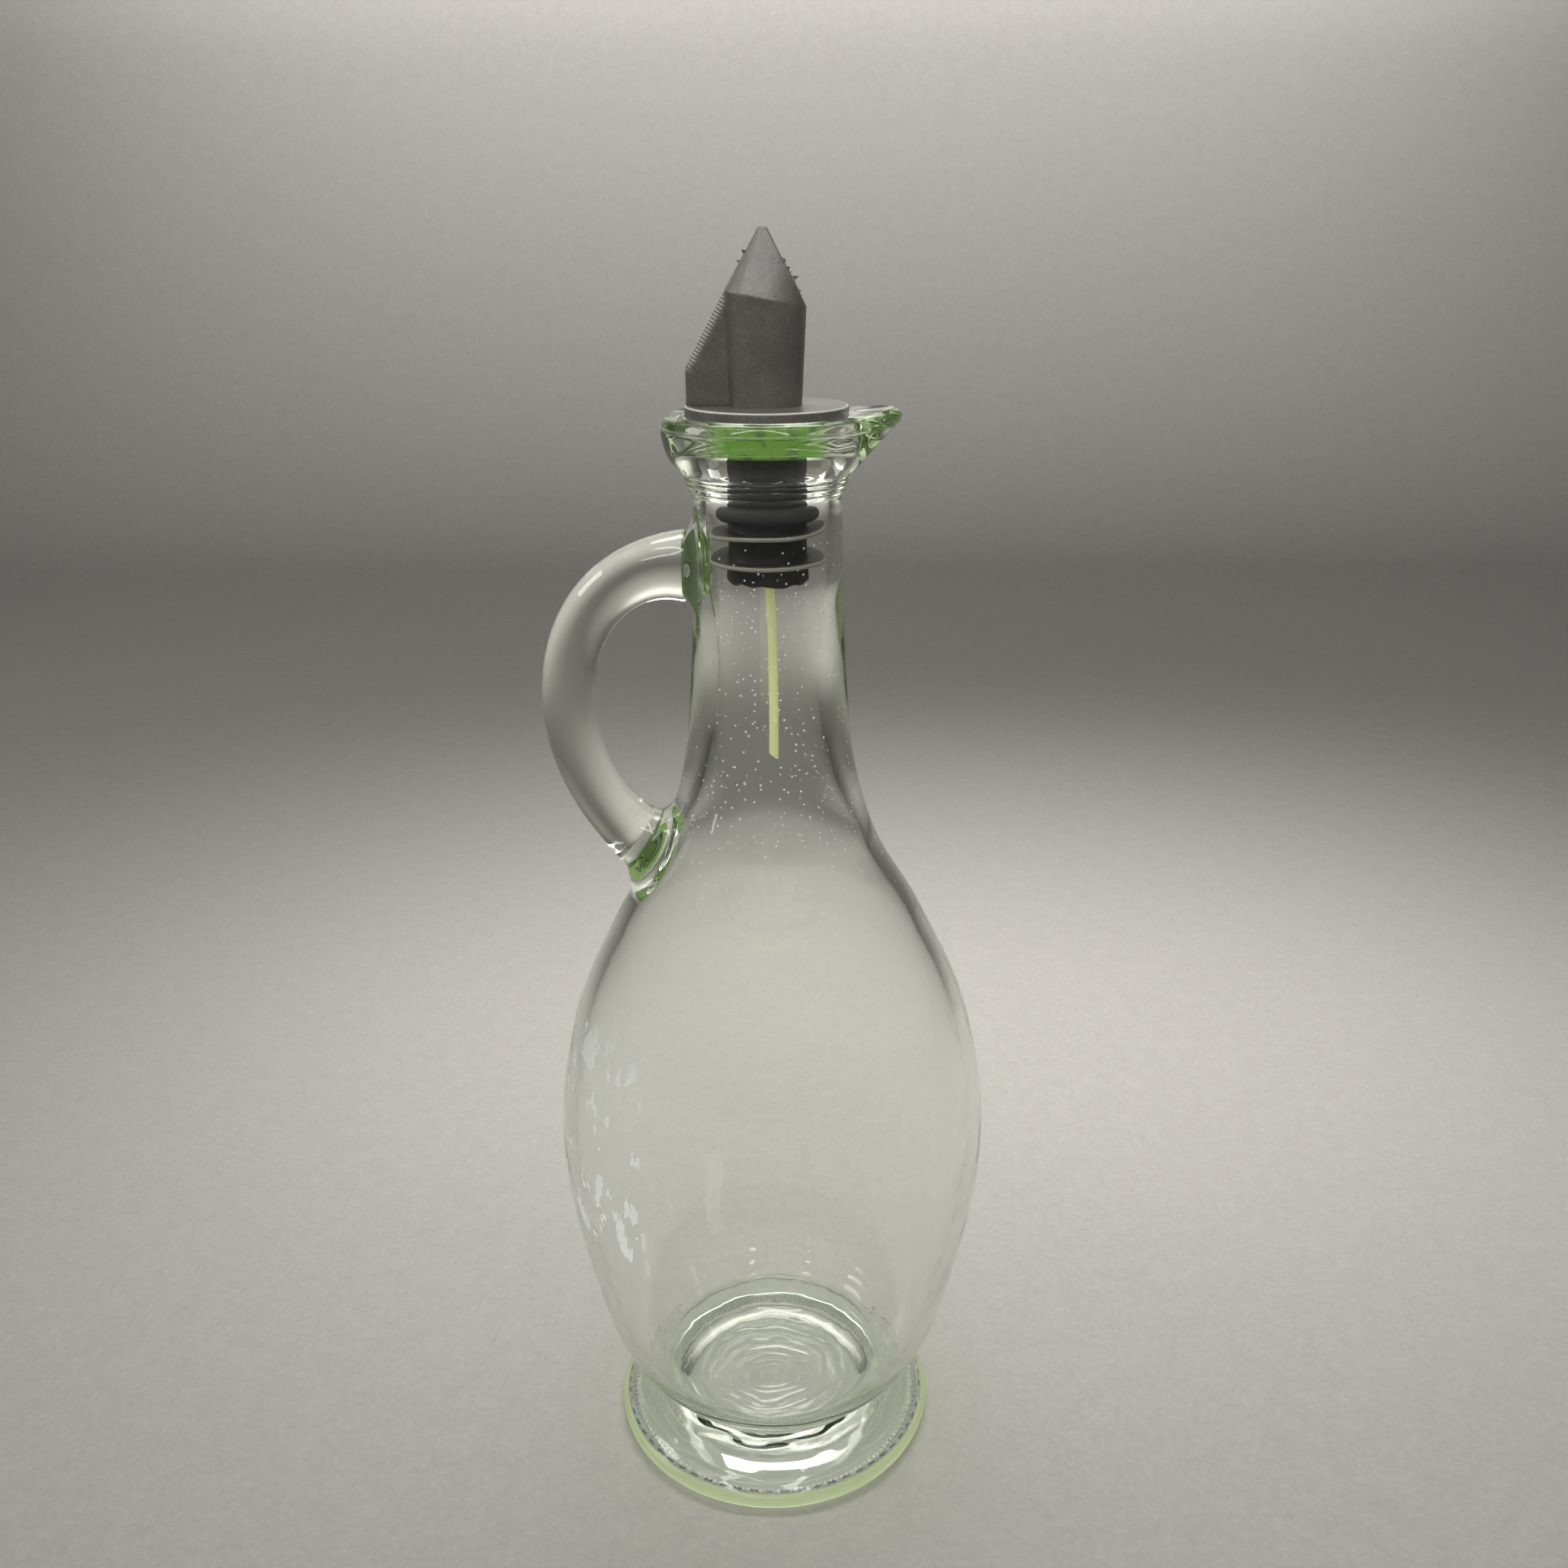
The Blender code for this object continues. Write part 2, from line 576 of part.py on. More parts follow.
def seal_fin(drop):
    """Outline of one thin fin, dished upwards, with a round edge against the bore."""
    height = DISC_UNDERSIDE - drop
    radius = BORE_RADIUS - FIN_CLEARANCE
    half = SEAL_THICKNESS / 2
    edge = arc(radius - half, height + SEAL_DISH, half, 90, -90, 3)
    return [(PLUG_RADIUS, height + half)] + edge + [(PLUG_RADIUS, height - half)]


def make_plug(soft):
    bulge_middle = DISC_UNDERSIDE - BULGE_DROP
    bulge = []
    for step in range(7):
        angle = radians(90 - 30 * step)
        bulge.append((PLUG_RADIUS + (BULGE_RADIUS - PLUG_RADIUS) * cos(angle),
                      bulge_middle + BULGE_HEIGHT / 2 * sin(angle)))
    end_top = PLUG_BOTTOM + PLUG_END_HEIGHT
    inside = STEM_RADIUS + SEAT_GAP
    outline = [(inside, PLUG_TOP), (PLUG_RADIUS, PLUG_TOP)] + bulge
    outline += seal_fin(UPPER_SEAL_DROP) + seal_fin(LOWER_SEAL_DROP)
    outline += [(PLUG_RADIUS, end_top), (PLUG_END_RADIUS, PLUG_BOTTOM + MM / 2)]
    outline += [(PLUG_END_RADIUS - MM / 2, PLUG_BOTTOM), (inside, PLUG_BOTTOM)]
    plug = turn("sealing_plug", outline, PLUG_SEGMENTS, closed=True)
    finish(plug, soft)


# ---------------------------------------------------------------- vent tube

def make_vent_tube(clear_plastic):
    top = STEM_BOTTOM + SEAT_GAP + BUSH_HEIGHT + TUBE_TOP_STAND
    hang = top - STEM_BOTTOM - SEAT_GAP - BUSH_HEIGHT / 2
    outline = [
        (TUBE_BORE_RADIUS, hang - TUBE_LENGTH),
        (TUBE_RADIUS, hang - TUBE_LENGTH),
        (TUBE_RADIUS, hang),
        (TUBE_BORE_RADIUS, hang),
    ]
    tube = turn("vent_tube", outline, TUBE_SEGMENTS, closed=True)
    for vert in tube.data.vertices:
        if vert.co.z < hang - TUBE_LENGTH / 2:
            vert.co.z -= vert.co.x * sin(TUBE_CUT) / cos(TUBE_CUT)
    lean = Matrix.Rotation(-TUBE_LEAN, 4, 'Y')
    place = Matrix.Translation((0.0, 0.0, top - hang))
    tube.data.transform(place @ lean)
    finish(tube, clear_plastic)


clear_scene()
GLASS = make_material("green_tinted_glass", (0.80, 0.88, 0.80), 0.03, 1.0)
GLASS_ROD = make_material("handle_glass", (0.84, 0.90, 0.84), 0.03, 1.0)
SATIN_PLASTIC = make_material("satin_dark_plastic", (0.085, 0.080, 0.075), 0.5)
SOFT_PLASTIC = make_material("soft_black_plastic", (0.020, 0.020, 0.021), 0.55)
TUBE_PLASTIC = make_material("straw_plastic", (0.62, 0.63, 0.36), 0.35, 0.4)
make_bottle(GLASS)
make_handle(GLASS_ROD)
make_pourer(SATIN_PLASTIC)
make_plug(SOFT_PLASTIC)
make_vent_tube(TUBE_PLASTIC)
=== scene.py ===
# %% [markdown]
# # Glass oil bottle with a pourer stopper
# A clear bottle of faintly green glass with an ear handle and a pouring lip. A dark plastic pourer is
# pushed into its neck, held by a soft plug with two thin fins, and a straw-coloured vent tube hangs
# below it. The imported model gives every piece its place, and this script gives each its looks.

from math import atan2, cos, exp, pi, radians, sin, sqrt, tan

import bpy
from mathutils import Matrix, Vector, noise
from mathutils.geometry import interpolate_bezier


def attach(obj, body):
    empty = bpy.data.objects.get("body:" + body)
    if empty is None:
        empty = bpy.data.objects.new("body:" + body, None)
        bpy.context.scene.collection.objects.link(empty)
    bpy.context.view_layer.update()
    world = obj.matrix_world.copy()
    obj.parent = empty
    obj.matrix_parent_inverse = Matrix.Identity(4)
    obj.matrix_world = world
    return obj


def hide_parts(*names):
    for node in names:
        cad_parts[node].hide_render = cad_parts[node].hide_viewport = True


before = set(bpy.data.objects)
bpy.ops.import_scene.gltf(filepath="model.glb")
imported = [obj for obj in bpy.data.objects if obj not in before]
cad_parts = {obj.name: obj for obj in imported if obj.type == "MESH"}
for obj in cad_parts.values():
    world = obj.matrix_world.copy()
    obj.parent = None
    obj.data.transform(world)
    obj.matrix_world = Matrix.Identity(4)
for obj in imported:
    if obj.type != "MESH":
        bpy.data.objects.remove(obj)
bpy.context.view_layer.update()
MM = 0.001

# %% [markdown]
# ## The camera
# The picture was taken with a phone held as high as the pourer's tip, some 26 cm in front of the
# bottle, looking down at it. The tilt, the small roll and the distance come from fitting the ellipses
# of the foot, collar and disc.

# %% Camera at the photograph's viewing angle
PHOTO_WIDTH_PX = 1932
FOCAL_LENGTH_PX = 1786
SENSOR_WIDTH_MM = 36.0
CAMERA_PLACE = Vector((2.8, -264.6, 250.2)) * MM
CAMERA_TILT = radians(20.72)
CAMERA_ROLL = radians(-0.26)

camera_data = bpy.data.cameras.new("photo_camera")
camera_data.sensor_width = SENSOR_WIDTH_MM
camera_data.lens = FOCAL_LENGTH_PX / PHOTO_WIDTH_PX * SENSOR_WIDTH_MM
camera_data.clip_start = 10 * MM
camera = bpy.data.objects.new("photo_camera", camera_data)
bpy.context.collection.objects.link(camera)
forward = Vector((0, cos(CAMERA_TILT), -sin(CAMERA_TILT)))
level_up = Vector((1, 0, 0)).cross(forward)
right = Vector((1, 0, 0)) * cos(CAMERA_ROLL) + level_up * sin(CAMERA_ROLL)
up = level_up * cos(CAMERA_ROLL) - Vector((1, 0, 0)) * sin(CAMERA_ROLL)
facing = Matrix((right, up, -forward)).transposed().to_4x4()
camera.matrix_world = Matrix.Translation(CAMERA_PLACE) @ facing
bpy.context.scene.camera = camera
bpy.context.scene.view_settings.view_transform = 'Standard'
print("Lens in mm:", round(camera_data.lens, 2))

# %% [markdown]
# ## Curves and turning
# Most of this object is turned: an outline is traced point by point with extrude, and spun round the
# axis, as a potter's template would shape it. Bezier pieces through a few knots keep outlines smooth.

# %% Helpers for outlines
def through(knots, steps):
    """Smooth points through the knots, each a (radius, height) pair."""
    points = [Vector((radius, 0, height)) for radius, height in knots]
    last = len(points) - 1
    slopes = [(points[min(i + 1, last)] - points[max(i - 1, 0)]).normalized() for i in range(last + 1)]
    curve = []
    for i in range(last):
        start, end = points[i], points[i + 1]
        reach = (end - start).length / 3
        piece = interpolate_bezier(start, start + slopes[i] * reach, end - slopes[i + 1] * reach,
                                   end, steps + 1)
        curve += [(point.x, point.z) for point in piece[:-1]]
    return curve + [(points[last].x, points[last].z)]


def arc(centre_radius, centre_height, size, start, end, steps):
    """Points on a round stretch, with angles in degrees from the outward direction."""
    angles = [radians(start + (end - start) * step / steps) for step in range(steps + 1)]
    return [(centre_radius + size * cos(a), centre_height + size * sin(a)) for a in angles]


def smoothstep(value, low, high):
    """0 below low, 1 above high, smooth between."""
    share = min(max((value - low) / (high - low), 0.0), 1.0)
    return share * share * (3 - 2 * share)

# %% Helpers for modelling
WELD = 0.004 * MM


def deselect_all():
    if bpy.context.object and bpy.context.object.mode != 'OBJECT':
        bpy.ops.object.mode_set(mode='OBJECT')
    bpy.ops.object.select_all(action='DESELECT')


def name_active(name):
    """Name the active object and its data."""
    bpy.context.object.name = name
    bpy.context.object.data.name = name
    return bpy.context.object


def turned(name, outline, steps, closed=False):
    """Trace an outline of (radius, height) pairs with extrude and spin it round Z."""
    deselect_all()
    bpy.ops.mesh.primitive_plane_add(size=MM, location=(0, 0, 0))
    piece = name_active(name)
    bpy.ops.object.mode_set(mode='EDIT')
    bpy.ops.mesh.merge(type='CENTER')
    bpy.ops.transform.translate(value=(outline[0][0], 0, outline[0][1]))
    path = outline + outline[:1] if closed else outline
    for start, end in zip(path, path[1:]):
        step = (end[0] - start[0], 0, end[1] - start[1])
        bpy.ops.mesh.extrude_region_move(TRANSFORM_OT_translate={"value": step})
    bpy.ops.mesh.select_all(action='SELECT')
    bpy.ops.mesh.spin(steps=steps, angle=2 * pi, center=(0, 0, 0), axis=(0, 0, 1))
    bpy.ops.mesh.select_all(action='SELECT')
    bpy.ops.mesh.remove_doubles(threshold=WELD)
    bpy.ops.mesh.normals_make_consistent(inside=False)
    bpy.ops.object.mode_set(mode='OBJECT')
    return piece


def reshape(piece, move):
    """Move each vertex of a piece to where a formula puts it."""
    for vert in piece.data.vertices:
        vert.co = move(vert.co.copy())
    piece.data.update()


def apply_modifier(piece, kind, **settings):
    """Add a modifier, set it up and apply it."""
    deselect_all()
    piece.select_set(True)
    bpy.context.view_layer.objects.active = piece
    modifier = piece.modifiers.new(kind.title(), kind)
    for key, value in settings.items():
        setattr(modifier, key, value)
    bpy.ops.object.modifier_apply(modifier=modifier.name)


def cut_or_join(piece, other, operation):
    """Boolean with another piece, which is used up."""
    apply_modifier(piece, 'BOOLEAN', object=other, operation=operation, solver='EXACT')
    bpy.data.objects.remove(other, do_unlink=True)


def shade_smooth(piece, angle):
    deselect_all()
    piece.select_set(True)
    bpy.context.view_layer.objects.active = piece
    bpy.ops.object.shade_smooth_by_angle(angle=angle)

# %% [markdown]
# ## Shader maths
# A wrapped socket lets masks be written as sums and products. Colours go through Mix nodes, because a
# Math node would turn them grey, and any other node comes from `node`. The lengths that `above`,
# `below` and `waves` take are in mm, because the masks follow the bottle's own sizes.

# %% A small class that wraps a socket
def feed(slot, item):
    """Link a wrapped socket to a slot, or set the slot to a plain value."""
    if isinstance(item, Value):
        item.tree.links.new(item.socket, slot)
    elif slot.type == 'RGBA':
        slot.default_value = (*item, 1.0)
    else:
        slot.default_value = item


class Value:
    def __init__(self, tree, socket):
        self.tree, self.socket = tree, socket

    def math(self, operation, *others):
        maths = self.tree.nodes.new("ShaderNodeMath")
        maths.operation = operation
        for slot, item in zip(maths.inputs, (self, *others)):
            feed(slot, item)
        return Value(self.tree, maths.outputs[0])

    def __add__(self, other): return self.math('ADD', other)
    def __sub__(self, other): return self.math('SUBTRACT', other)
    def __rsub__(self, other): return (self * -1.0).math('ADD', other)
    def __mul__(self, other): return self.math('MULTIPLY', other)

    def ramp(self, low, high):
        """0 below low, 1 above high, smooth between."""
        node = self.tree.nodes.new("ShaderNodeMapRange")
        node.interpolation_type = 'SMOOTHSTEP'
        for key, item in (("Value", self), ("From Min", low), ("From Max", high)):
            feed(node.inputs[key], item)
        return Value(self.tree, node.outputs[0])

    def above(self, low, high):
        """A ramp between two lengths in mm."""
        return self.ramp(low * MM, high * MM)

    def below(self, low, high):
        """The opposite: 1 below the first length in mm, and 0 above the second."""
        return 1 - self.above(low, high)

    def waves(self, pitch):
        """A sine with a crest every `pitch` mm."""
        return (self * (2 * pi / (pitch * MM))).math('SINE')

    def mix(self, first, second):
        """A colour between two, with this value as the share of the second."""
        node = self.tree.nodes.new("ShaderNodeMix")
        node.data_type = 'RGBA'
        feed(node.inputs["Factor"], self)
        colour_slots = [slot for slot in node.inputs if slot.type == 'RGBA']
        for slot, item in zip(colour_slots, (first, second)):
            feed(slot, item)
        return Value(self.tree, [slot for slot in node.outputs if slot.type == 'RGBA'][0])


class Finish:
    """A material under construction: its Principled shader and the nodes around it."""

    def __init__(self, name):
        self.material = bpy.data.materials.new(name)
        self.material.use_nodes = True
        self.tree = self.material.node_tree
        self.shader = self.tree.nodes["Principled BSDF"]
        self.output = self.tree.nodes["Material Output"]
        self.place = self.node("ShaderNodeTexCoord", out="Object")

    def node(self, kind, settings=None, out=0, **values):
        made = self.tree.nodes.new(kind)
        for key, value in (settings or {}).items():
            setattr(made, key, value)
        for key, value in values.items():
            feed(made.inputs[key.replace("_", " ")], value)
        return Value(self.tree, made.outputs[out])

    def set(self, **values):
        for key, value in values.items():
            feed(self.shader.inputs[key.replace("_", " ")], value)

    def axes(self):
        """X, Y and Z, and the distance from the bottle's axis."""
        split = self.tree.nodes.new("ShaderNodeSeparateXYZ")
        feed(split.inputs[0], self.place)
        x, y, z = [Value(self.tree, out) for out in split.outputs]
        return x, y, z, (x * x + y * y).math('SQRT')

    def noise(self, size, detail=2.0, roughness=0.5):
        """Cloudy noise whose features are about `size` across, in metres."""
        return self.node("ShaderNodeTexNoise", Vector=self.place, Scale=1 / size, Detail=detail,
                         Roughness=roughness)

    def bump(self, height, depth, strength=1.0):
        """Bump from a height of 0 to 1 that stands for `depth` metres."""
        self.set(Normal=self.node("ShaderNodeBump", Height=height, Distance=depth, Strength=strength))

# %% [markdown]
# ## Sizes of the glass
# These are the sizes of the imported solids, but for the dish of the mouth, which is shallower, and the
# foot, whose edge is rounder and whose bearing ring is narrower. The solids are coarse facets, which
# glass would show as flats, so the glass is turned again finely, with beads on its collar and rim.

# %% Driving sizes of the bottle
FOOT_RADIUS = 34.6 * MM
FOOT_EDGE_HEIGHT = 3.2 * MM
FOOT_EDGE_ROUND = 0.8 * MM
FOOT_UNDER_ROUND = 2.2 * MM
BEARING_RING_WIDTH = 3.0 * MM
UNDERSIDE_RISE = 2.6 * MM
WAIST = (25.4 * MM, 12.0 * MM)
HEEL = (33.2 * MM, 22.0 * MM)
LOWER_BODY = (38.3 * MM, 36.0 * MM)
BELLY = (44.2 * MM, 72.0 * MM)
UPPER_BODY = (40.4 * MM, 100.0 * MM)
SHOULDER = (31.0 * MM, 122.0 * MM)
NECK_ROOT = (20.9 * MM, 140.0 * MM)
LOWER_NECK = (15.8 * MM, 160.0 * MM)
NECK_RADIUS, NECK_HEIGHT = 13.5 * MM, 206.5 * MM
COLLAR_RADIUS, COLLAR_RISE = 15.1 * MM, 3.6 * MM
CUP_RADIUS, CUP_RISE = 19.0 * MM, 11.0 * MM
RIM_CREST_RADIUS, RIM_RISE = 16.9 * MM, 14.3 * MM
LIP_REACH, LIP_LIFT, LIP_RISE = 5.8 * MM, 0.9 * MM, 8.6 * MM
LIP_HALF_ANGLE = radians(36)
WALL = 2.8 * MM
BORE_RADIUS = 11.15 * MM
MOUTH_RADIUS, MOUTH_DEPTH = 14.9 * MM, 5.4 * MM
MOUTH_ROUND = 0.7 * MM
BEAD_SIZE = 0.22 * MM
BEAD_DROPS = (2.3 * MM, 11.1 * MM, 12.1 * MM, 13.3 * MM)
THROAT_RADIUS, THROAT_HEIGHT, THROAT_LENGTH = 9.4 * MM, 171.0 * MM, 17.0 * MM
FLOOR_RADIUS, FLOOR_THICKNESS = 17.0 * MM, 6.6 * MM
DISC_RADIUS, DISC_THICKNESS, DISC_SINK = 14.6 * MM, 2.2 * MM, 0.8 * MM
SEAT_GAP = 0.3 * MM
COLLAR_HEIGHT = NECK_HEIGHT + COLLAR_RISE
RIM_HEIGHT = NECK_HEIGHT + RIM_RISE
DISC_UNDERSIDE = RIM_HEIGHT - DISC_SINK
DISC_TOP = DISC_UNDERSIDE + DISC_THICKNESS
PLUG_LENGTH = 29.2 * MM
PLUG_BOTTOM = DISC_UNDERSIDE - PLUG_LENGTH
BODY_OUTLINE = through([WAIST, HEEL, LOWER_BODY, BELLY, UPPER_BODY, SHOULDER, NECK_ROOT, LOWER_NECK,
                        (NECK_RADIUS, NECK_HEIGHT)], 11)
BORE_SHARES = (0.02, 0.06, 0.2, 0.35, 0.5, 0.65, 0.8, 0.92, 0.98)
print("Belly and rim height in mm:", round(2 * BELLY[0] / MM, 1), round(RIM_HEIGHT / MM, 1))

# %% Outline of the glass
def outside_radius(height):
    """Radius of the outside of the body at a height."""
    for (low_radius, low), (high_radius, high) in zip(BODY_OUTLINE, BODY_OUTLINE[1:]):
        if low <= height <= high:
            return low_radius + (high_radius - low_radius) * (height - low) / (high - low)
    return NECK_RADIUS


def foot_outline():
    ring_outside = FOOT_RADIUS - FOOT_UNDER_ROUND
    ring_inside = ring_outside - BEARING_RING_WIDTH
    underside = through([(0.0, UNDERSIDE_RISE), (ring_inside / 2, UNDERSIDE_RISE * 0.9),
                         (ring_inside - UNDERSIDE_RISE / 2, UNDERSIDE_RISE * 0.4), (ring_inside, 0.0)], 6)
    low_edge = arc(ring_outside, FOOT_UNDER_ROUND, FOOT_UNDER_ROUND, -90, 0, 9)
    high_edge = arc(FOOT_RADIUS - FOOT_EDGE_ROUND, FOOT_EDGE_HEIGHT - FOOT_EDGE_ROUND / 2,
                    FOOT_EDGE_ROUND, 0, 70, 5)
    ring = [(ring_inside + BEARING_RING_WIDTH * share, 0.0) for share in (0.25, 0.5, 0.75)]
    middle = ((FOOT_RADIUS + WAIST[0]) / 2, (FOOT_EDGE_HEIGHT + WAIST[1]) / 2 - UNDERSIDE_RISE / 4)
    slope = through([high_edge[-1], middle, WAIST], 8)
    return underside + ring + low_edge + high_edge + slope[1:-1]


def beaded(outline, heights, size):
    """Lay small round beads over an outline at the given heights."""
    fine = []
    for start, end in zip(outline, outline[1:]):
        near = any(abs((start[1] + end[1]) / 2 - height) < size * 2.5 for height in heights)
        parts = 4 if near else 1
        fine += [(start[0] + (end[0] - start[0]) * i / parts, start[1] + (end[1] - start[1]) * i / parts)
                 for i in range(parts)]
    fine.append(outline[-1])
    return [(radius + size * sum(exp(-((height - bead) / (size * 0.8)) ** 2) for bead in heights), height)
            for radius, height in fine]


def mouth_outline():
    collar = through([(NECK_RADIUS, NECK_HEIGHT),
                      (COLLAR_RADIUS - COLLAR_RISE / 8, COLLAR_HEIGHT - COLLAR_RISE / 2),
                      (COLLAR_RADIUS, COLLAR_HEIGHT)], 6)
    cup = through([(COLLAR_RADIUS, COLLAR_HEIGHT),
                   ((COLLAR_RADIUS + CUP_RADIUS * 2) / 3, NECK_HEIGHT + (COLLAR_RISE + CUP_RISE) * 0.45),
                   (CUP_RADIUS, NECK_HEIGHT + CUP_RISE),
                   (CUP_RADIUS - RIM_RISE / 20, RIM_HEIGHT - RIM_RISE / 16),
                   (RIM_CREST_RADIUS, RIM_HEIGHT)], 7)
    seat = RIM_HEIGHT - DISC_SINK - SEAT_GAP - (MOUTH_RADIUS - DISC_RADIUS)
    crest = through([(RIM_CREST_RADIUS, RIM_HEIGHT), (MOUTH_RADIUS, seat)], 6)
    dish = through([(MOUTH_RADIUS, seat), (MOUTH_RADIUS - MOUTH_ROUND, seat - MOUTH_ROUND * 0.75),
                    (BORE_RADIUS + MOUTH_ROUND, RIM_HEIGHT - MOUTH_DEPTH + MOUTH_ROUND * 0.75),
                    (BORE_RADIUS, RIM_HEIGHT - MOUTH_DEPTH)], 6)
    beads = [RIM_HEIGHT - drop for drop in BEAD_DROPS]
    return beaded(collar[1:-1] + cup, beads, BEAD_SIZE) + crest[1:] + dish[1:]


def cavity_outline():
    """The inside, from the bore down to the floor."""
    wall = []
    for lower, point, upper in zip(BODY_OUTLINE, BODY_OUTLINE[1:], BODY_OUTLINE[2:]):
        along = Vector((upper[0] - lower[0], upper[1] - lower[1])).normalized()
        if HEEL[1] - WALL * 3 < point[1] < NECK_ROOT[1] + WALL:
            wall.append((point[0] - WALL * along.y, point[1] + WALL * along.x))
    wall.reverse()
    low_throat = THROAT_HEIGHT - THROAT_LENGTH
    bore_top = RIM_HEIGHT - MOUTH_DEPTH
    bore = [(BORE_RADIUS, bore_top + (PLUG_BOTTOM - bore_top) * share) for share in BORE_SHARES]
    neck = through([(BORE_RADIUS, PLUG_BOTTOM), (THROAT_RADIUS, THROAT_HEIGHT),
                    (outside_radius(low_throat) - WALL * 1.7, low_throat), wall[0], wall[1]], 9)[:-10]
    floor = through([wall[-1], ((wall[-1][0] + FLOOR_RADIUS * 2) / 3, FLOOR_THICKNESS + WALL * 0.6),
                     (FLOOR_RADIUS, FLOOR_THICKNESS), (0.0, FLOOR_THICKNESS)], 8)
    return bore + neck + wall + floor[1:]


glass_outline = foot_outline() + BODY_OUTLINE + mouth_outline() + cavity_outline()
print("Points in the outline of the glass:", len(glass_outline))

# %% [markdown]
# ## The bottle
# The real bottle is blown in a mould, and its lip and the two pads for the handle are drawn out of the
# hot glass. So the turned shape is drawn out in the same way: a formula pulls the vertices of the cup
# to the lip, and those of the wall to the end faces of the handle, with a soft fairing around them.

# %% Turn the glass and draw out its lip and pads
HANDLE_TOP_END = Vector((-15.9, 0.0, 193.4)) * MM
HANDLE_FOOT_END = Vector((-24.9, 0.0, 139.1)) * MM
HANDLE_FOOT_DIP = radians(35)
TOP_DIRECTION = Vector((1, 0, 0))
FOOT_DIRECTION = Vector((cos(HANDLE_FOOT_DIP), 0, -sin(HANDLE_FOOT_DIP)))
HANDLE_END_THICKNESS = 13.2 * MM
HANDLE_DEPTH = 10.8 * MM


def draw_lip(place):
    """Pull the front of the cup out and up to the pouring lip."""
    lip_start = RIM_HEIGHT - LIP_RISE
    angle = atan2(place.y, place.x)
    if place.z <= lip_start or abs(angle) >= LIP_HALF_ANGLE:
        return place
    share = min((place.z - lip_start) / (LIP_RISE * 0.85), 1.0) ** 1.5
    spread = cos(angle / LIP_HALF_ANGLE * pi / 2) ** 2
    radius = Vector((place.x, place.y)).length
    grown = (radius + LIP_REACH * share * spread) / radius
    return Vector((place.x * grown, place.y * grown, place.z + LIP_LIFT * share * spread))


def draw_pad(place, face, direction, fairing):
    """Pull the wall back along the handle's direction until it meets the handle's end face."""
    offset = place - face
    depth = offset.dot(direction)
    across = Vector((direction.z, 0, -direction.x))
    height = offset.dot(across) / (HANDLE_END_THICKNESS / 2)
    width = offset.y / (HANDLE_DEPTH * 0.56)
    distance = sqrt(height ** 2 + width ** 2)
    if depth < SEAT_GAP or distance > fairing:
        return place
    pull = 1 - smoothstep(distance, 1.0, fairing)
    return place - direction * (depth - SEAT_GAP) * pull ** 1.6


def shape_glass(place):
    radius = Vector((place.x, place.y)).length
    outside = radius > outside_radius(place.z) - WALL / 3
    if place.z > NECK_HEIGHT:
        return draw_lip(place)
    if outside and place.x < 0 and place.z > UPPER_BODY[1]:
        place = draw_pad(place, HANDLE_TOP_END, TOP_DIRECTION, 1.35)
        place = draw_pad(place, HANDLE_FOOT_END, FOOT_DIRECTION, 1.75)
    return place


bottle = turned("bottle_glass_body", glass_outline, 240)
reshape(bottle, shape_glass)
shade_smooth(bottle, radians(60))
print("Triangles in the glass:", sum(len(face.vertices) - 2 for face in bottle.data.polygons))

# %% [markdown]
# ## The handle
# The handle is a glass rod bent to an ear. A curve with a round bevel is the natural way to make it,
# and the radius of each of its points lets the rod swell towards its two ends, where it was pressed on.

# %% Bend the handle
HANDLE_REACH = 38.1 * MM
HANDLE_THICKNESS = 10.3 * MM
HANDLE_STEPS = 72
HANDLE_SINK = 0.7 * MM


def handle_centres():
    rise = HANDLE_TOP_END.z - HANDLE_FOOT_END.z
    swing = HANDLE_REACH + HANDLE_TOP_END.x
    middle = Vector((-HANDLE_REACH, 0, HANDLE_FOOT_END.z + rise * 0.52))
    upper = interpolate_bezier(HANDLE_TOP_END, HANDLE_TOP_END - TOP_DIRECTION * swing * 0.62,
                               middle + Vector((0, 0, rise * 0.27)), middle, HANDLE_STEPS // 2 + 1)
    lower = interpolate_bezier(middle, middle - Vector((0, 0, rise * 0.25)),
                               HANDLE_FOOT_END - FOOT_DIRECTION * swing * 0.3, HANDLE_FOOT_END,
                               HANDLE_STEPS // 2 + 1)
    return ([HANDLE_TOP_END + TOP_DIRECTION * HANDLE_SINK] + upper + lower[1:]
            + [HANDLE_FOOT_END + FOOT_DIRECTION * HANDLE_SINK])


deselect_all()
bpy.ops.curve.primitive_bezier_curve_add()
rod = name_active("handle_rod")
rod.data.splines.clear()
rod.data.dimensions = '3D'
spline = rod.data.splines.new('POLY')
centres = handle_centres()
spline.points.add(len(centres) - 1)
for index, (point, centre) in enumerate(zip(spline.points, centres)):
    spread = min(abs(2 * (index - 1) / HANDLE_STEPS - 1), 1.0) ** 5
    thickness = HANDLE_THICKNESS + (HANDLE_END_THICKNESS - HANDLE_THICKNESS) * spread
    point.co = (*centre, 1.0)
    point.radius = thickness / HANDLE_THICKNESS
rod.data.bevel_depth = HANDLE_THICKNESS / 2
rod.data.bevel_resolution = 14
rod.data.use_fill_caps = True
bpy.ops.object.convert(target='MESH')
rod = bpy.context.object
depth_share = HANDLE_DEPTH / HANDLE_THICKNESS
reshape(rod, lambda place: Vector((place.x, place.y * depth_share, place.z)))
deselect_all()
rod.select_set(True)
bpy.context.view_layer.objects.active = rod
bpy.ops.object.mode_set(mode='EDIT')
bpy.ops.mesh.select_all(action='SELECT')
bpy.ops.mesh.remove_doubles(threshold=WELD)
bpy.ops.mesh.normals_make_consistent(inside=False)
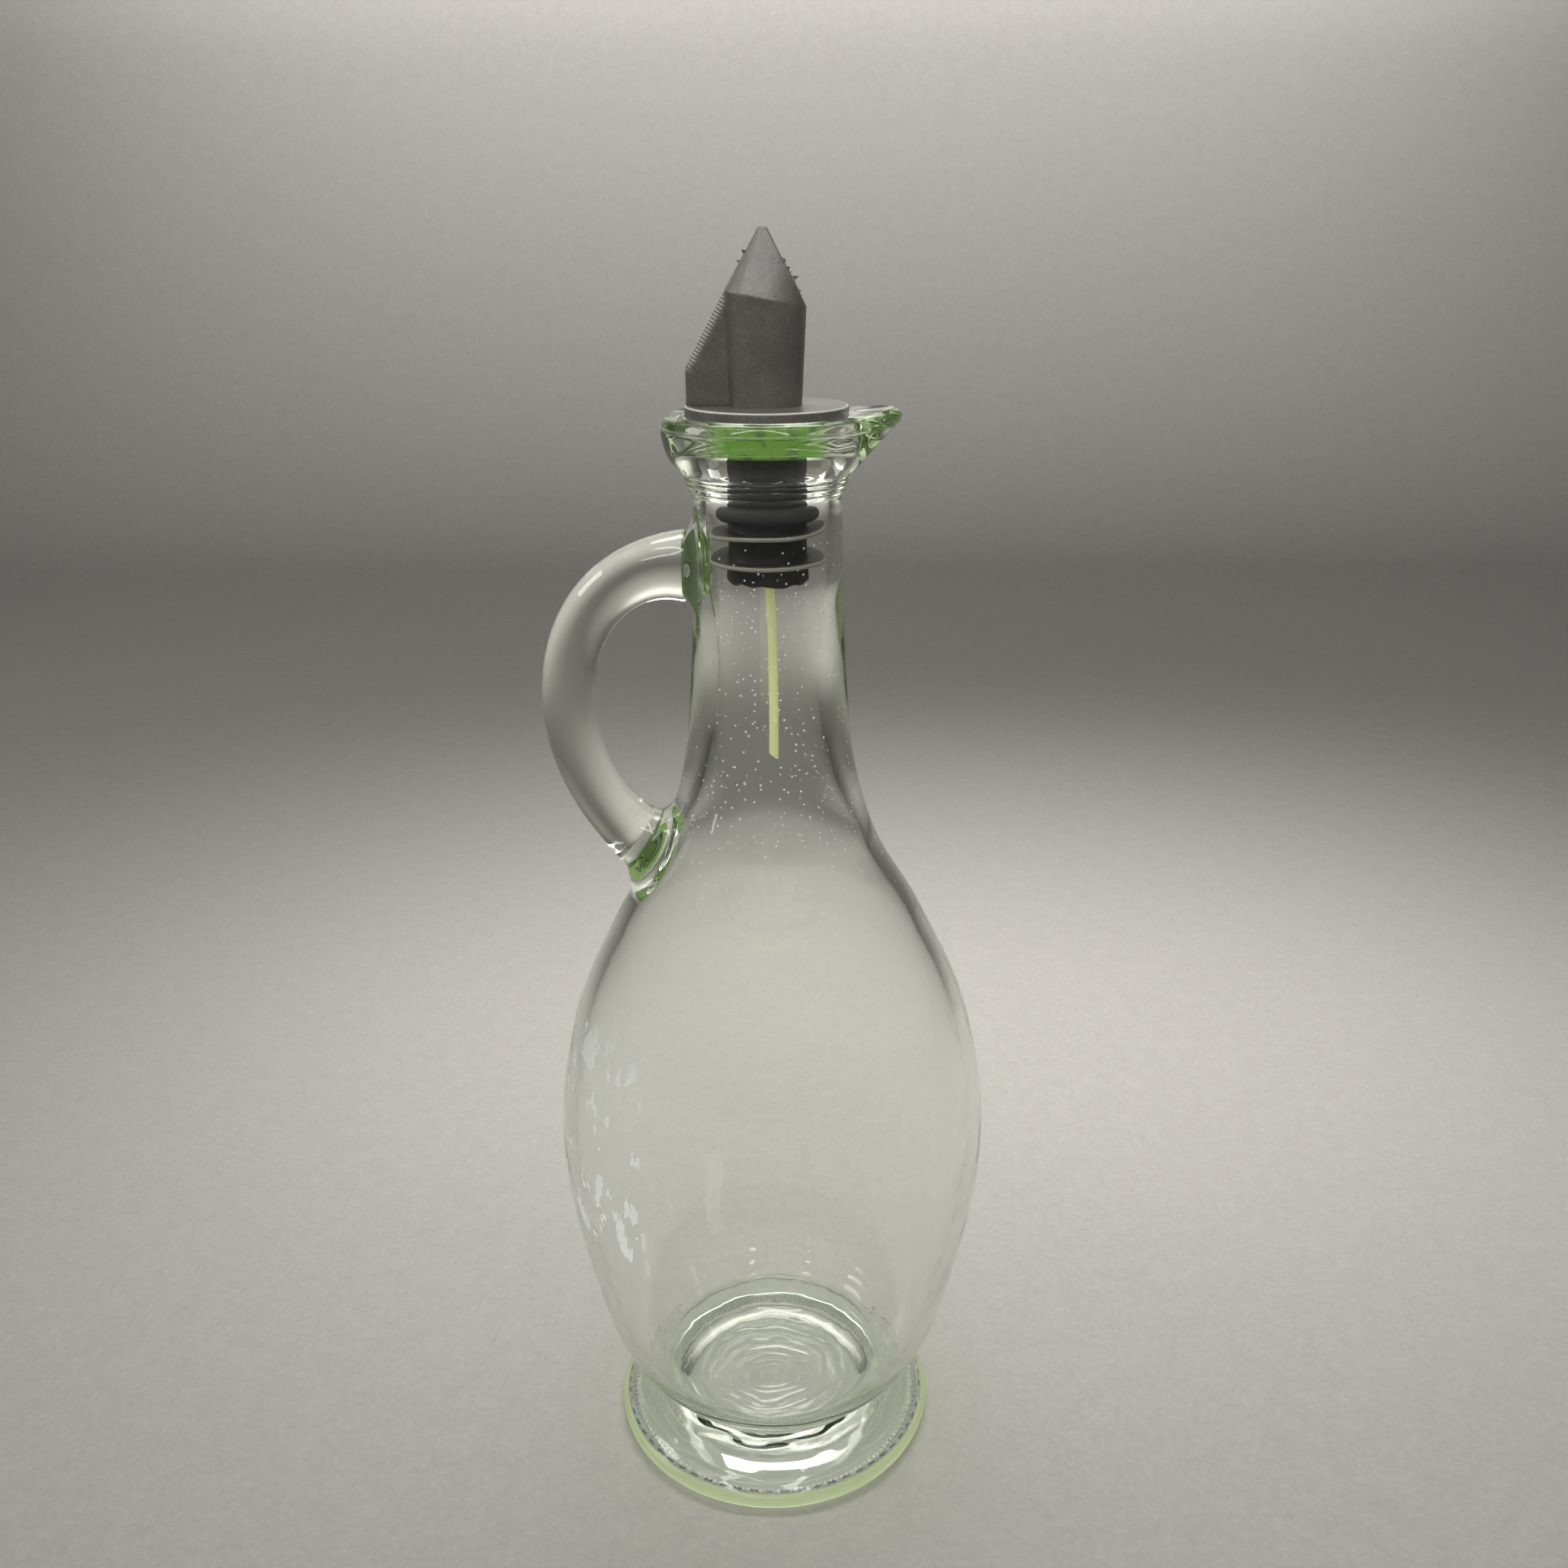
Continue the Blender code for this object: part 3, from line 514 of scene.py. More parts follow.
bpy.ops.object.mode_set(mode='OBJECT')
shade_smooth(rod, radians(60))
print("Handle reaches x =", round(min(vert.co.x for vert in rod.data.vertices) / MM, 1), "mm")

# %% [markdown]
# ## The pourer
# The hard pourer is one moulding: a disc, a stem and a hollow spout with a back fin. The spout starts
# as a turned rod with a pointed top, whose crease is then tilted by a formula. One block adds the fin,
# another cuts the oblique mouth, and a fine remesh gives every edge the small round of a moulding.

# %% Turn the disc and its stem
STEM_RADIUS, STEM_BORE_RADIUS = 5.9 * MM, 4.7 * MM
STEM_BOTTOM = PLUG_BOTTOM + SEAT_GAP
DISC_EDGE_ROUND = 0.35 * MM
DISC_BORDER, DISC_BORDER_SLOPE, DISC_BORDER_RISE = 0.9 * MM, 0.2 * MM, 0.08 * MM
edge = DISC_RADIUS - DISC_EDGE_ROUND
disc_face = DISC_TOP - DISC_BORDER_RISE
disc_outline = [(STEM_BORE_RADIUS, STEM_BOTTOM), (STEM_RADIUS, STEM_BOTTOM), (STEM_RADIUS, DISC_UNDERSIDE)]
disc_outline += arc(edge, DISC_UNDERSIDE + DISC_EDGE_ROUND, DISC_EDGE_ROUND, -90, 0, 4)
disc_outline += arc(edge, DISC_TOP - DISC_EDGE_ROUND, DISC_EDGE_ROUND, 0, 90, 4)
disc_outline += [(edge - DISC_BORDER, DISC_TOP), (edge - DISC_BORDER - DISC_BORDER_SLOPE, disc_face),
                 (STEM_BORE_RADIUS, disc_face)]
disc = turned("pourer_disc", disc_outline, 144, closed=True)
shade_smooth(disc, radians(30))
print("Disc spans", round(2 * DISC_RADIUS / MM, 1), "mm, and its top is at", round(DISC_TOP / MM, 1), "mm")

# %% Shape the spout
SPOUT_BASE_RADIUS, SPOUT_TOP_RADIUS, SPOUT_WALL = 6.3 * MM, 7.1 * MM, 1.2 * MM
CREASE_RISE, CREASE_FALL = 18.0 * MM, 0.2
TIP_RISE, TIP_SETBACK, TIP_RADIUS = 29.6 * MM, 0.4 * MM, 0.75 * MM
BACK_SQUARE = 3.4
MOUTH_LOW_RISE = 16.5 * MM
FIN_RISE, FIN_THICKNESS, FIN_ROUND = 6.0 * MM, 5.2 * MM, 1.9 * MM
FIN_REACH = DISC_RADIUS - 0.12 * MM
CREASE_HEIGHT = DISC_TOP + CREASE_RISE
PAST_SPOUT = 30 * MM
VOXEL = 0.22 * MM


def spout_solid(name, inset, base):
    """Turn a rod with a pointed top, then tilt its crease and lean its point back."""
    low_radius, high_radius = SPOUT_BASE_RADIUS - inset, SPOUT_TOP_RADIUS - inset
    tip_radius = TIP_RADIUS * (high_radius / SPOUT_TOP_RADIUS) ** 2
    tip_height = DISC_TOP + TIP_RISE - inset * 2
    side = [(low_radius + (high_radius - low_radius) * i / 12, base + (CREASE_HEIGHT - base) * i / 12)
            for i in range(13)]
    cone = [(high_radius + (tip_radius - high_radius) * i / 12,
             CREASE_HEIGHT + (tip_height - CREASE_HEIGHT) * i / 12) for i in range(1, 13)]
    solid = turned(name, [(0.0, base)] + side + cone + [(0.0, tip_height)], 96)

    def tilt(place):
        angle = atan2(place.y, place.x)
        if place.x < 0:
            corners = abs(cos(angle)) ** BACK_SQUARE + abs(sin(angle)) ** BACK_SQUARE
            squarer = corners ** (-1 / BACK_SQUARE)
            place = Vector((place.x * squarer, place.y * squarer, place.z))
        if place.z <= CREASE_HEIGHT:
            share = (place.z - base) / (CREASE_HEIGHT - base)
            return place - Vector((0, 0, CREASE_FALL * place.x * share))
        share = (place.z - CREASE_HEIGHT) / (tip_height - CREASE_HEIGHT)
        reach = high_radius * cos(angle)
        height = place.z - CREASE_FALL * reach * (1 - share)
        on_axis = Vector((place.x, place.y)).length < tip_radius / 2
        reach = place.x - TIP_SETBACK * share if place.x < 0 or on_axis else reach
        return Vector((reach, place.y, height))

    reshape(solid, tilt)
    return solid


def block(name, outline, depth):
    """A block with the given (x, z) outline, as deep as stated and centred on the XZ plane."""
    deselect_all()
    bpy.ops.mesh.primitive_circle_add(vertices=len(outline), radius=MM, fill_type='NGON')
    piece = name_active(name)
    for vert, (x, z) in zip(piece.data.vertices, outline):
        vert.co = (x, -depth / 2, z)
    bpy.ops.object.mode_set(mode='EDIT')
    bpy.ops.mesh.select_all(action='SELECT')
    bpy.ops.mesh.extrude_region_move(TRANSFORM_OT_translate={"value": (0, depth, 0)})
    bpy.ops.mesh.select_all(action='SELECT')
    bpy.ops.mesh.normals_make_consistent(inside=False)
    bpy.ops.object.mode_set(mode='OBJECT')
    return piece


spout = spout_solid("pourer_head", 0.0, DISC_TOP - DISC_THICKNESS / 2)
fin_root = DISC_TOP - DISC_THICKNESS / 2
fin_crease = CREASE_HEIGHT + CREASE_FALL * SPOUT_TOP_RADIUS
fin = block("pourer_fin", [(-SPOUT_BASE_RADIUS / 2, fin_root), (-FIN_REACH, fin_root),
                           (-FIN_REACH, DISC_TOP + FIN_RISE), (-SPOUT_TOP_RADIUS, fin_crease),
                           (-SPOUT_BASE_RADIUS / 2, fin_crease)], FIN_THICKNESS)
apply_modifier(fin, 'BEVEL', width=FIN_ROUND, segments=6, limit_method='ANGLE', angle_limit=radians(80))
cut_or_join(spout, fin, 'UNION')
cut_or_join(spout, spout_solid("hollow", SPOUT_WALL, DISC_UNDERSIDE), 'DIFFERENCE')
low = (SPOUT_TOP_RADIUS, DISC_TOP + MOUTH_LOW_RISE)
tip = (TIP_RADIUS * 0.8 - TIP_SETBACK, DISC_TOP + TIP_RISE)
run = (tip[0] - low[0], tip[1] - low[1])
mouth = [(low[0] - run[0] * 0.6, low[1] - run[1] * 0.6), (low[0] + PAST_SPOUT, low[1]),
         (tip[0] + PAST_SPOUT, tip[1] + PAST_SPOUT * 2 / 3), (tip[0] + run[0], tip[1] + run[1])]
cut_or_join(spout, block("mouth", mouth, PAST_SPOUT), 'DIFFERENCE')
apply_modifier(spout, 'REMESH', mode='VOXEL', voxel_size=VOXEL)
apply_modifier(spout, 'SMOOTH', factor=0.5, iterations=3)
shade_smooth(spout, radians(80))
print("Spout tip at", round(max(vert.co.z for vert in spout.data.vertices) / MM, 1), "mm")

# %% [markdown]
# ## Flash on the spout
# Where the halves of the mould met, thin ragged flakes of plastic were left on both slanted edges. A
# narrow grid follows each edge, noise tears its free side, and a Solidify modifier gives it thickness.

# %% Add the ragged flash
LEFT_EDGE = [Vector(end) * MM for end in ((-6.2, -0.6, 242.2), (-0.9, -0.5, 251.3))]
RIGHT_EDGE = [Vector(end) * MM for end in ((6.2, -3.0, 240.6), (2.9, -2.6, 246.8))]
LEFT_OUTWARD, RIGHT_OUTWARD = Vector((-0.86, -0.1, 0.5)), Vector((0.88, -0.2, 0.45))
LEFT_FLASH_HEIGHT, RIGHT_FLASH_HEIGHT, FLASH_THICKNESS = 2.8 * MM, 2.1 * MM, 0.13 * MM


def flash(name, start, end, outward, height, seed):
    """A torn flake along an edge from start to end; the seed picks how it is torn."""
    deselect_all()
    bpy.ops.mesh.primitive_grid_add(x_subdivisions=60, y_subdivisions=3, size=2.0)
    piece = name_active(name)
    along = end - start

    def tear(place):
        share, free = (place.x + 1) / 2, (place.y + 1) / 2
        ragged = noise.noise(Vector((share * 8, seed, 0)))
        ragged += 0.4 * noise.noise(Vector((share * 19, seed, 2)))
        stand = height * max(ragged, 0.02) * free
        sway = noise.noise(Vector((share * 14, seed, 5))) * height * 0.5 * free
        return start + along * share + outward * stand + Vector((0, sway, 0))

    reshape(piece, tear)
    apply_modifier(piece, 'SOLIDIFY', thickness=FLASH_THICKNESS, offset=0.0)
    shade_smooth(piece, radians(50))
    return piece


left_flash = flash("pourer_flash_left", *LEFT_EDGE, LEFT_OUTWARD, LEFT_FLASH_HEIGHT, 3)
right_flash = flash("pourer_flash_right", *RIGHT_EDGE, RIGHT_OUTWARD, RIGHT_FLASH_HEIGHT, 11)
print("Flash runs", round((LEFT_EDGE[1] - LEFT_EDGE[0]).length / MM, 1), "mm along the left edge")

# %% [markdown]
# ## The sealing plug
# The plug is moulded in soft plastic, so its fins are never quite flat: one is bent up on the side of
# the lip, and its cut end is ragged. It is turned first, and a wave is then laid over its thin parts.

# %% Turn the plug and bend its fins
PLUG_RADIUS, PLUG_END_RADIUS, PLUG_END_HEIGHT = 7.2 * MM, 7.6 * MM, 3.0 * MM
BULGE_RADIUS, BULGE_HEIGHT, BULGE_DROP = 9.35 * MM, 3.9 * MM, 16.0 * MM
SEAL_DROPS, SEAL_THICKNESS, SEAL_DISH = (20.2 * MM, 25.4 * MM), 0.8 * MM, 0.3 * MM
SEAL_RADIUS = BORE_RADIUS - SEAT_GAP
SEAL_ROOT = 0.35 * MM
SEAL_BENT_UP, SEAL_BENT_DOWN, SEAL_WAVE, SEAL_REACH = 1.5 * MM, 0.7 * MM, 0.15 * MM, 1.6 * MM
RAGGED_END = 0.5 * MM


def seal_outline(drop):
    """One thin fin that stands out from the plug, with a small fillet at its root."""
    height, half = DISC_UNDERSIDE - drop, SEAL_THICKNESS / 2
    span = [PLUG_RADIUS + (SEAL_RADIUS - half - PLUG_RADIUS) * share for share in (0.25, 0.5, 0.75)]
    width = SEAL_RADIUS - PLUG_RADIUS
    upper = [(radius, height + half + SEAL_DISH * ((radius - PLUG_RADIUS) / width) ** 2) for radius in span]
    lower = [(radius, place - SEAL_THICKNESS) for radius, place in reversed(upper)]
    rim = arc(SEAL_RADIUS - half, height + SEAL_DISH, half, 90, -90, 6)
    root = PLUG_RADIUS + SEAL_ROOT
    return ([(PLUG_RADIUS, height + half + SEAL_ROOT), (root, height + half)] + upper + rim + lower
            + [(root, height - half), (PLUG_RADIUS, height - half - SEAL_ROOT)])


plug_inside = STEM_RADIUS + SEAT_GAP
plug_outline = [(plug_inside, DISC_UNDERSIDE - SEAT_GAP), (PLUG_RADIUS, DISC_UNDERSIDE - SEAT_GAP)]
plug_outline += [(PLUG_RADIUS + (BULGE_RADIUS - PLUG_RADIUS) * cos(radians(a)) ** 0.7,
                  DISC_UNDERSIDE - BULGE_DROP + BULGE_HEIGHT / 2 * sin(radians(a)))
                 for a in range(90, -91, -15)]
plug_outline += seal_outline(SEAL_DROPS[0]) + seal_outline(SEAL_DROPS[1])
plug_outline += [(PLUG_RADIUS, PLUG_BOTTOM + PLUG_END_HEIGHT),
                 (PLUG_END_RADIUS - 0.1 * MM, PLUG_BOTTOM + PLUG_END_HEIGHT * 0.75),
                 (PLUG_END_RADIUS, PLUG_BOTTOM + 1.0 * MM), (PLUG_END_RADIUS, PLUG_BOTTOM + 0.2 * MM),
                 (PLUG_END_RADIUS - 0.3 * MM, PLUG_BOTTOM), (plug_inside, PLUG_BOTTOM)]
plug = turned("sealing_plug_soft", plug_outline, 160, closed=True)


def bend(place):
    """Bend the fins and tear the cut end."""
    radius, angle = Vector((place.x, place.y)).length, atan2(place.y, place.x)
    free = max(radius - PLUG_RADIUS, 0) / (SEAL_RADIUS - PLUG_RADIUS)
    drop = DISC_UNDERSIDE - place.z
    wave = 0.0
    if abs(drop - SEAL_DROPS[0]) < SEAL_REACH:
        wave = SEAL_BENT_UP * max(cos(angle), 0) ** 4 - SEAL_BENT_DOWN * max(-cos(angle), 0) ** 2
    elif abs(drop - SEAL_DROPS[1]) < SEAL_REACH:
        wave = SEAL_WAVE * sin(angle * 2 + 2.0)
    lift = wave * free ** 1.5
    if place.z < PLUG_BOTTOM + RAGGED_END:
        lift += RAGGED_END * noise.noise(Vector((cos(angle) * 2.6, sin(angle) * 2.6, 4)))
    return place + Vector((0, 0, lift))


reshape(plug, bend)
shade_smooth(plug, radians(45))
print("Plug is", round(PLUG_LENGTH / MM, 1), "mm long")

# %% [markdown]
# ## The vent tube
# A thin straw lets air in while the oil runs out. It is a short length of tubing, cut at a slant, and
# it leans a little, as soft tubing does.

# %% Turn the vent tube
TUBE_RADIUS, TUBE_BORE_RADIUS, TUBE_LENGTH = 0.9 * MM, 0.5 * MM, 38.5 * MM
TUBE_LEAN, TUBE_CUT, TUBE_BOW = radians(1.3), radians(35), 0.35 * MM
TUBE_TOP = STEM_BOTTOM + SEAT_GAP + 4.0 * MM
tube_rows = [TUBE_LENGTH * step / 24 for step in range(25)]
tube_outline = [(TUBE_RADIUS, -row) for row in tube_rows]
tube_outline += [(TUBE_BORE_RADIUS, -row) for row in reversed(tube_rows)]
tube = turned("vent_tube_straw", tube_outline, 40, closed=True)


def hang(place):
    """Hang the tube in the stem with a lean and a slight bow, and slant its cut end."""
    depth = -place.z / TUBE_LENGTH
    slant = tan(TUBE_CUT) * place.x * (1 if depth > 0.99 else 0)
    aside = tan(TUBE_LEAN) * (depth * TUBE_LENGTH) + TUBE_BOW * sin(pi * depth)
    return Vector((place.x + aside, place.y, TUBE_TOP + place.z - slant))


reshape(tube, hang)
shade_smooth(tube, radians(45))
print("Tube hangs to", round(min(vert.co.z for vert in tube.data.vertices) / MM, 1), "mm")

# %% [markdown]
# ## Glass
# The glass is soda-lime with a trace of iron: clear through a wall, and green where light runs along
# it. So its surface stays white and the tint comes from absorption inside. Shadow rays pass it as if
# it were only faintly coloured, which lets light into the bottle without the noise of true caustics.
#
# Real glass also pipes light to its rim, its pads and its foot, by more reflections than the renderer
# follows. Those greens are painted light, laid in with masks. The marks of the press are painted
# highlights, and the dust and the flakes of dried water are real, with a painted gleam.

# %% Marks in the glass
UNDER_FOOT, FLOOR_BOTTOM, FLOOR_TOP = (0.5, 0.9), (4.5, 5.5), (8, 9)
RING_DOT_HEIGHT, FLOOR_RING_HEIGHT, SLOPE_RING_HEIGHT = 0.12, 0.10, 0.018
RELIEF_DOTS, KNURL_DOTS, SEAM_DASHES = 140.0, 150.0, 62.0
SPECK_CELL, LIME_SIZE = 1.3 * MM, 4.4 * MM
# Shares of the painted highlights on the knurled ring and on the wavy lines of the floor and slope
KNURL_SHARE, FLOOR_LINE_SHARE, SLOPE_LINE_SHARE = 0.85, 0.50, 0.40
NECK_SPECK_SHARE, OTHER_SPECK_SHARE, LIME_SHARE = 0.70, 0.08, 0.75


def around(x, y, count):
    """A sine with `count` crests once round the bottle's axis."""
    return (y.math('ARCTAN2', x) * count).math('SINE')


def moulding(made):
    """Relief in mm: the stippled bearing ring, and rings on the floor and slope of the foot."""
    x, y, z, radius = made.axes()
    dots = around(x, y, RELIEF_DOTS) * radius.waves(2.2)
    on_ring = radius.above(28.8, 29.2) * radius.below(31.0, 31.4) * z.below(*UNDER_FOOT)
    wander = made.noise(13 * MM, detail=1.5)
    rings = (radius + wander * (7 * MM)).waves(3.1)
    on_floor = radius.below(15, 19) * z.above(*FLOOR_BOTTOM) * z.below(*FLOOR_TOP)
    steps = (z + wander * (3 * MM)).waves(1.9)
    on_slope = radius.above(23, 25) * z.above(3.4, 4.4) * z.below(15, 21)
    return (dots * on_ring * RING_DOT_HEIGHT + rings * on_floor * FLOOR_RING_HEIGHT
            + steps * on_slope * SLOPE_RING_HEIGHT)


def press_glints(made):
    """Painted highlights on the press marks: the knurled bearing ring, and wavy lines on the floor and
    slope.
    """
    x, y, z, radius = made.axes()
    broken = made.noise(1.3 * MM, detail=2.0) + around(x, y, KNURL_DOTS) * 0.16
    on_ring = radius.above(28.8, 29.3) * radius.below(31.0, 31.5) * z.below(*UNDER_FOOT)
    wander = made.noise(13 * MM, detail=2.5)
    lines = (radius + wander * (9 * MM)).waves(3.3).ramp(0.72, 1.0)
    on_floor = radius.below(16, 19) * z.above(*FLOOR_BOTTOM) * z.below(*FLOOR_TOP)
    steps = (z + wander * (5 * MM)).waves(1.7).ramp(0.72, 1.0)
    on_slope = radius.above(22, 24) * z.above(3.6, 4.6) * z.below(10, 13)
    fade = made.noise(7 * MM, detail=2.0).ramp(0.35, 0.65) * 0.8 + 0.2
    knurl = broken.ramp(0.50, 0.57) * on_ring * KNURL_SHARE
    wavy = lines * on_floor * FLOOR_LINE_SHARE + steps * on_slope * SLOPE_LINE_SHARE
    return knurl.math('MAXIMUM', wavy * fade)


def residue(made):
    """Dust specks inside the neck, and lime flakes inside the left of the body."""
    x, y, z, radius = made.axes()
    cells, pick = [made.node("ShaderNodeTexVoronoi", {"feature": 'F1'}, out=out, Vector=made.place,
                             Scale=1 / SPECK_CELL, Randomness=1.0) for out in ("Distance", "Color")]
    specks = (1 - cells.ramp(0.13, 0.19)) * pick.ramp(0.42, 0.62)
    in_neck = z.above(112, 150) * z.below(196, 204)
    tall = made.node("ShaderNodeMapping", Vector=made.place, Scale=(1.0, 1.0, 0.5))
    patch = made.node("ShaderNodeTexNoise", Vector=tall, Scale=1 / LIME_SIZE, Detail=3.5, Roughness=0.55)
    lime = patch.ramp(0.565, 0.585) * (1 - patch.ramp(0.70, 0.72) * 0.6)
    on_left = x.below(-26, -21) * y.below(-12, -6) * z.above(58, 64) * z.below(102, 108)
    inner = made.node("ShaderNodeAttribute", {"attribute_name": "inner_wall"}, out="Fac")
    specks = specks * (in_neck * NECK_SPECK_SHARE + OTHER_SPECK_SHARE)
    return specks.math('MAXIMUM', lime * on_left * LIME_SHARE) * inner


print("The bearing ring has", round(RELIEF_DOTS), "dots in each of its rows")

# %% Light in the glass
GLASS_IOR = 1.5
GLASS_TINT, GLASS_DENSITY = (0.45, 0.85, 0.10), 8.0
THIN_TINT = (0.95, 0.955, 0.95)
# Painted light in the glass: the piped tones, the dish's pool, the foot's edge glow and the painted shade
# of the seam
PIPED_GREEN, PIPED_PALE, PIPED_DARK = (0.17, 0.29, 0.07), (0.44, 0.50, 0.36), (0.20, 0.235, 0.16)
DISH_GREEN, EDGE_GLOW, SEAM_SHADE = (0.15, 0.31, 0.05), (0.88, 1.0, 0.60), (0.05, 0.06, 0.04)
CHALK_AND_GLINT, GLEAM = (0.92, 0.95, 0.94), (0.90, 0.96, 0.95)
BOTTLE_WAVINESS, HANDLE_WAVINESS = 0.07, 0.06
TRAPPED_AFTER = 2.5


def blend(made, first, second, share):
    """A Mix Shader between two shaders."""
    mixed = made.node("ShaderNodeMixShader", Fac=share)
    feed(mixed.socket.node.inputs[1], first)
    feed(mixed.socket.node.inputs[2], second)
    return mixed


def milky(made, colour):
    return made.node("ShaderNodeBsdfTranslucent", Color=colour)


def glow(made, colour, strength):
    return made.node("ShaderNodeEmission", Color=colour, Strength=strength)


def piped(made):
    """What a trapped ray sees: green in the cup and by the pads, pale on the crest and dark elsewhere."""
    x, y, z, radius = made.axes()
    in_cup, by_pads, on_crest = z.above(209, 211), x.below(-16.5, -14.5), z.above(217.4, 218.2)
    greener = in_cup.math('MAXIMUM', by_pads * 0.7)
    tone = blend(made, milky(made, PIPED_DARK), milky(made, PIPED_GREEN), greener)
    return blend(made, tone, milky(made, PIPED_PALE), on_crest)


def lit_mouth(made, surface):
    """Lay a pool of green light in the front of the mouth's dish."""
    x, y, z, radius = made.axes()
    streaks = made.noise(2.6 * MM, detail=2.0).ramp(0.34, 0.52) * 0.5 + 0.35
    in_dish = z.above(214.9, 215.5) * z.below(218.6, 219.6) * radius.below(14.9, 15.2)
    in_middle = y.below(-8, -5) * x.math('ABSOLUTE').below(7, 10.5)
    pool = blend(made, milky(made, PIPED_GREEN), glow(made, DISH_GREEN, 1.0), 0.8)
    return blend(made, surface, pool, in_dish * in_middle * streaks)


def lit_foot(made, surface):
    """Lay a painted glow on the front of the foot's edge, and painted shade in dashes along the mould's
    seam above it.
    """
    x, y, z, radius = made.axes()
    in_front = y.below(2, 14) * z.below(5, 6)
    on_edge = radius.above(33.4, 33.7) * z.above(0.3, 0.7) * in_front
    edge_light = blend(made, milky(made, EDGE_GLOW), glow(made, EDGE_GLOW, 0.72), 0.4)
    surface = blend(made, surface, edge_light, on_edge * 0.75)
    dashes = around(x, y, SEAM_DASHES).ramp(-0.3, 0.1)
    on_seam = radius.above(32.9, 33.05) * radius.below(33.25, 33.35) * z.above(2.5, 2.7) * in_front
    return blend(made, surface, milky(made, SEAM_SHADE), on_seam * dashes * 0.6)


def glass(name, waviness, blown=False):
    """Clear glass that pipes light; the blown bottle also has relief, painted lit edges, and marks with
    painted gleam.
    """
    made = Finish(name)
    smear = made.noise(9 * MM, detail=4.0, roughness=0.6).ramp(0.5, 0.78)
    made.set(Base_Color=(1.0, 1.0, 1.0), Roughness=smear * 0.045, Transmission_Weight=1.0, IOR=GLASS_IOR)
    relief = (made.noise(16 * MM, detail=1.0) * (waviness * 0.8)
              + made.noise(5 * MM, detail=1.0) * (waviness * 0.2))
    made.bump(relief + moulding(made) if blown else relief, MM)
    path = made.tree.nodes.new("ShaderNodeLightPath")
    shadow, diffuse, bounces = [Value(made.tree, path.outputs[key])
                                for key in ("Is Shadow Ray", "Is Diffuse Ray", "Glossy Depth")]
    clear = Value(made.tree, made.shader.outputs[0])
    thin = made.node("ShaderNodeBsdfTransparent", Color=THIN_TINT)
    surface = blend(made, clear, thin, shadow.math('MAXIMUM', diffuse))
    mirror = made.node("ShaderNodeFresnel", IOR=GLASS_IOR).ramp(0.6, 1.0)
    surface = blend(made, surface, piped(made), bounces.math('GREATER_THAN', TRAPPED_AFTER) * mirror)
    if blown:
        surface = lit_foot(made, lit_mouth(made, surface))
        # Chalk white with a painted gleam: real dust and lime inside the glass, and painted highlights on
        # the press marks
        chalk_and_glint = blend(made, milky(made, CHALK_AND_GLINT), glow(made, GLEAM, 0.95), 0.45)
        surface = blend(made, surface, chalk_and_glint, residue(made).math('MAXIMUM', press_glints(made)))
    absorb = made.node("ShaderNodeVolumeAbsorption", Color=GLASS_TINT, Density=GLASS_DENSITY)
    feed(made.output.inputs["Surface"], surface)
    feed(made.output.inputs["Volume"], absorb)
    return made.material


def on_inner_wall(place):
    """Whether a vertex of the glass is on the inside of the cavity."""
    radius = Vector((place.x, place.y)).length
    in_cavity = UNDERSIDE_RISE * 1.5 < place.z < RIM_HEIGHT - MOUTH_DEPTH
    return in_cavity and radius < outside_radius(place.z) - WALL / 2


inner_wall = bottle.data.attributes.new("inner_wall", 'FLOAT', 'POINT')
inner_shares = [float(on_inner_wall(vert.co)) for vert in bottle.data.vertices]
inner_wall.data.foreach_set("value", inner_shares)
bottle.data.materials.append(glass("bottle_glass", BOTTLE_WAVINESS, blown=True))
rod.data.materials.append(glass("handle_glass", HANDLE_WAVINESS))
print("Vertices on the inner wall:", round(sum(inner_shares)))

# %% [markdown]
# ## Plastics
# The pourer has a fine spark-eroded grain, which scatters light over a wide satin highlight. The plug
# is duller and darker. The straw is milky, and a faint glow stands for the yellow light inside it.

# %% Plastic materials
RIDGE_SLOPE, RIDGE_FOOT_X, RIDGE_FOOT_Z = radians(61), -14.6 * MM, 228.2 * MM
RIB_PITCH = 0.62
SATIN_DARK, SATIN_LIGHT = (0.100, 0.094, 0.086), (0.200, 0.188, 0.170)
# Painted highlights: a lighter band on the fin's rounded ridge, and a pale line on the disc's top corner
SATIN_RIDGE_SHEEN, SATIN_CORNER_HIGHLIGHT = (0.36, 0.34, 0.31), (0.62, 0.61, 0.58)
FLAKE_DARK, FLAKE_LIGHT = (0.20, 0.19, 0.175), (0.52, 0.50, 0.47)
SOFT_BLACK, SOFT_SCUFFED = (0.006, 0.006, 0.007), (0.022, 0.022, 0.023)
SEAL_LIT_TONE, SEAL_RIM_HIGHLIGHT = (0.060, 0.058, 0.053), (0.34, 0.33, 0.30)
STRAW_YELLOW, STRAW_PALE, STRAW_LIGHT = (0.93, 0.92, 0.50), (0.88, 0.88, 0.56), (0.86, 0.86, 0.42)

satin = Finish("pourer_satin_plastic")
x, y, z, radius = satin.axes()
grain = satin.noise(0.45 * MM, detail=2.5, roughness=0.8)
cloud = satin.noise(6 * MM, detail=3.0)
tone = cloud.ramp(0.3, 0.75) * 0.4 + grain.ramp(0.35, 0.65) * 0.6
off_ridge = (x - RIDGE_FOOT_X) * sin(RIDGE_SLOPE) - (z - RIDGE_FOOT_Z) * cos(RIDGE_SLOPE)
near_ridge = off_ridge.below(0.4, 1.7) * x.below(-7.4, -6.8) * z.above(228, 230)
ribs = (x * cos(RIDGE_SLOPE) + z * sin(RIDGE_SLOPE)).waves(RIB_PITCH) * 0.5 + 0.5
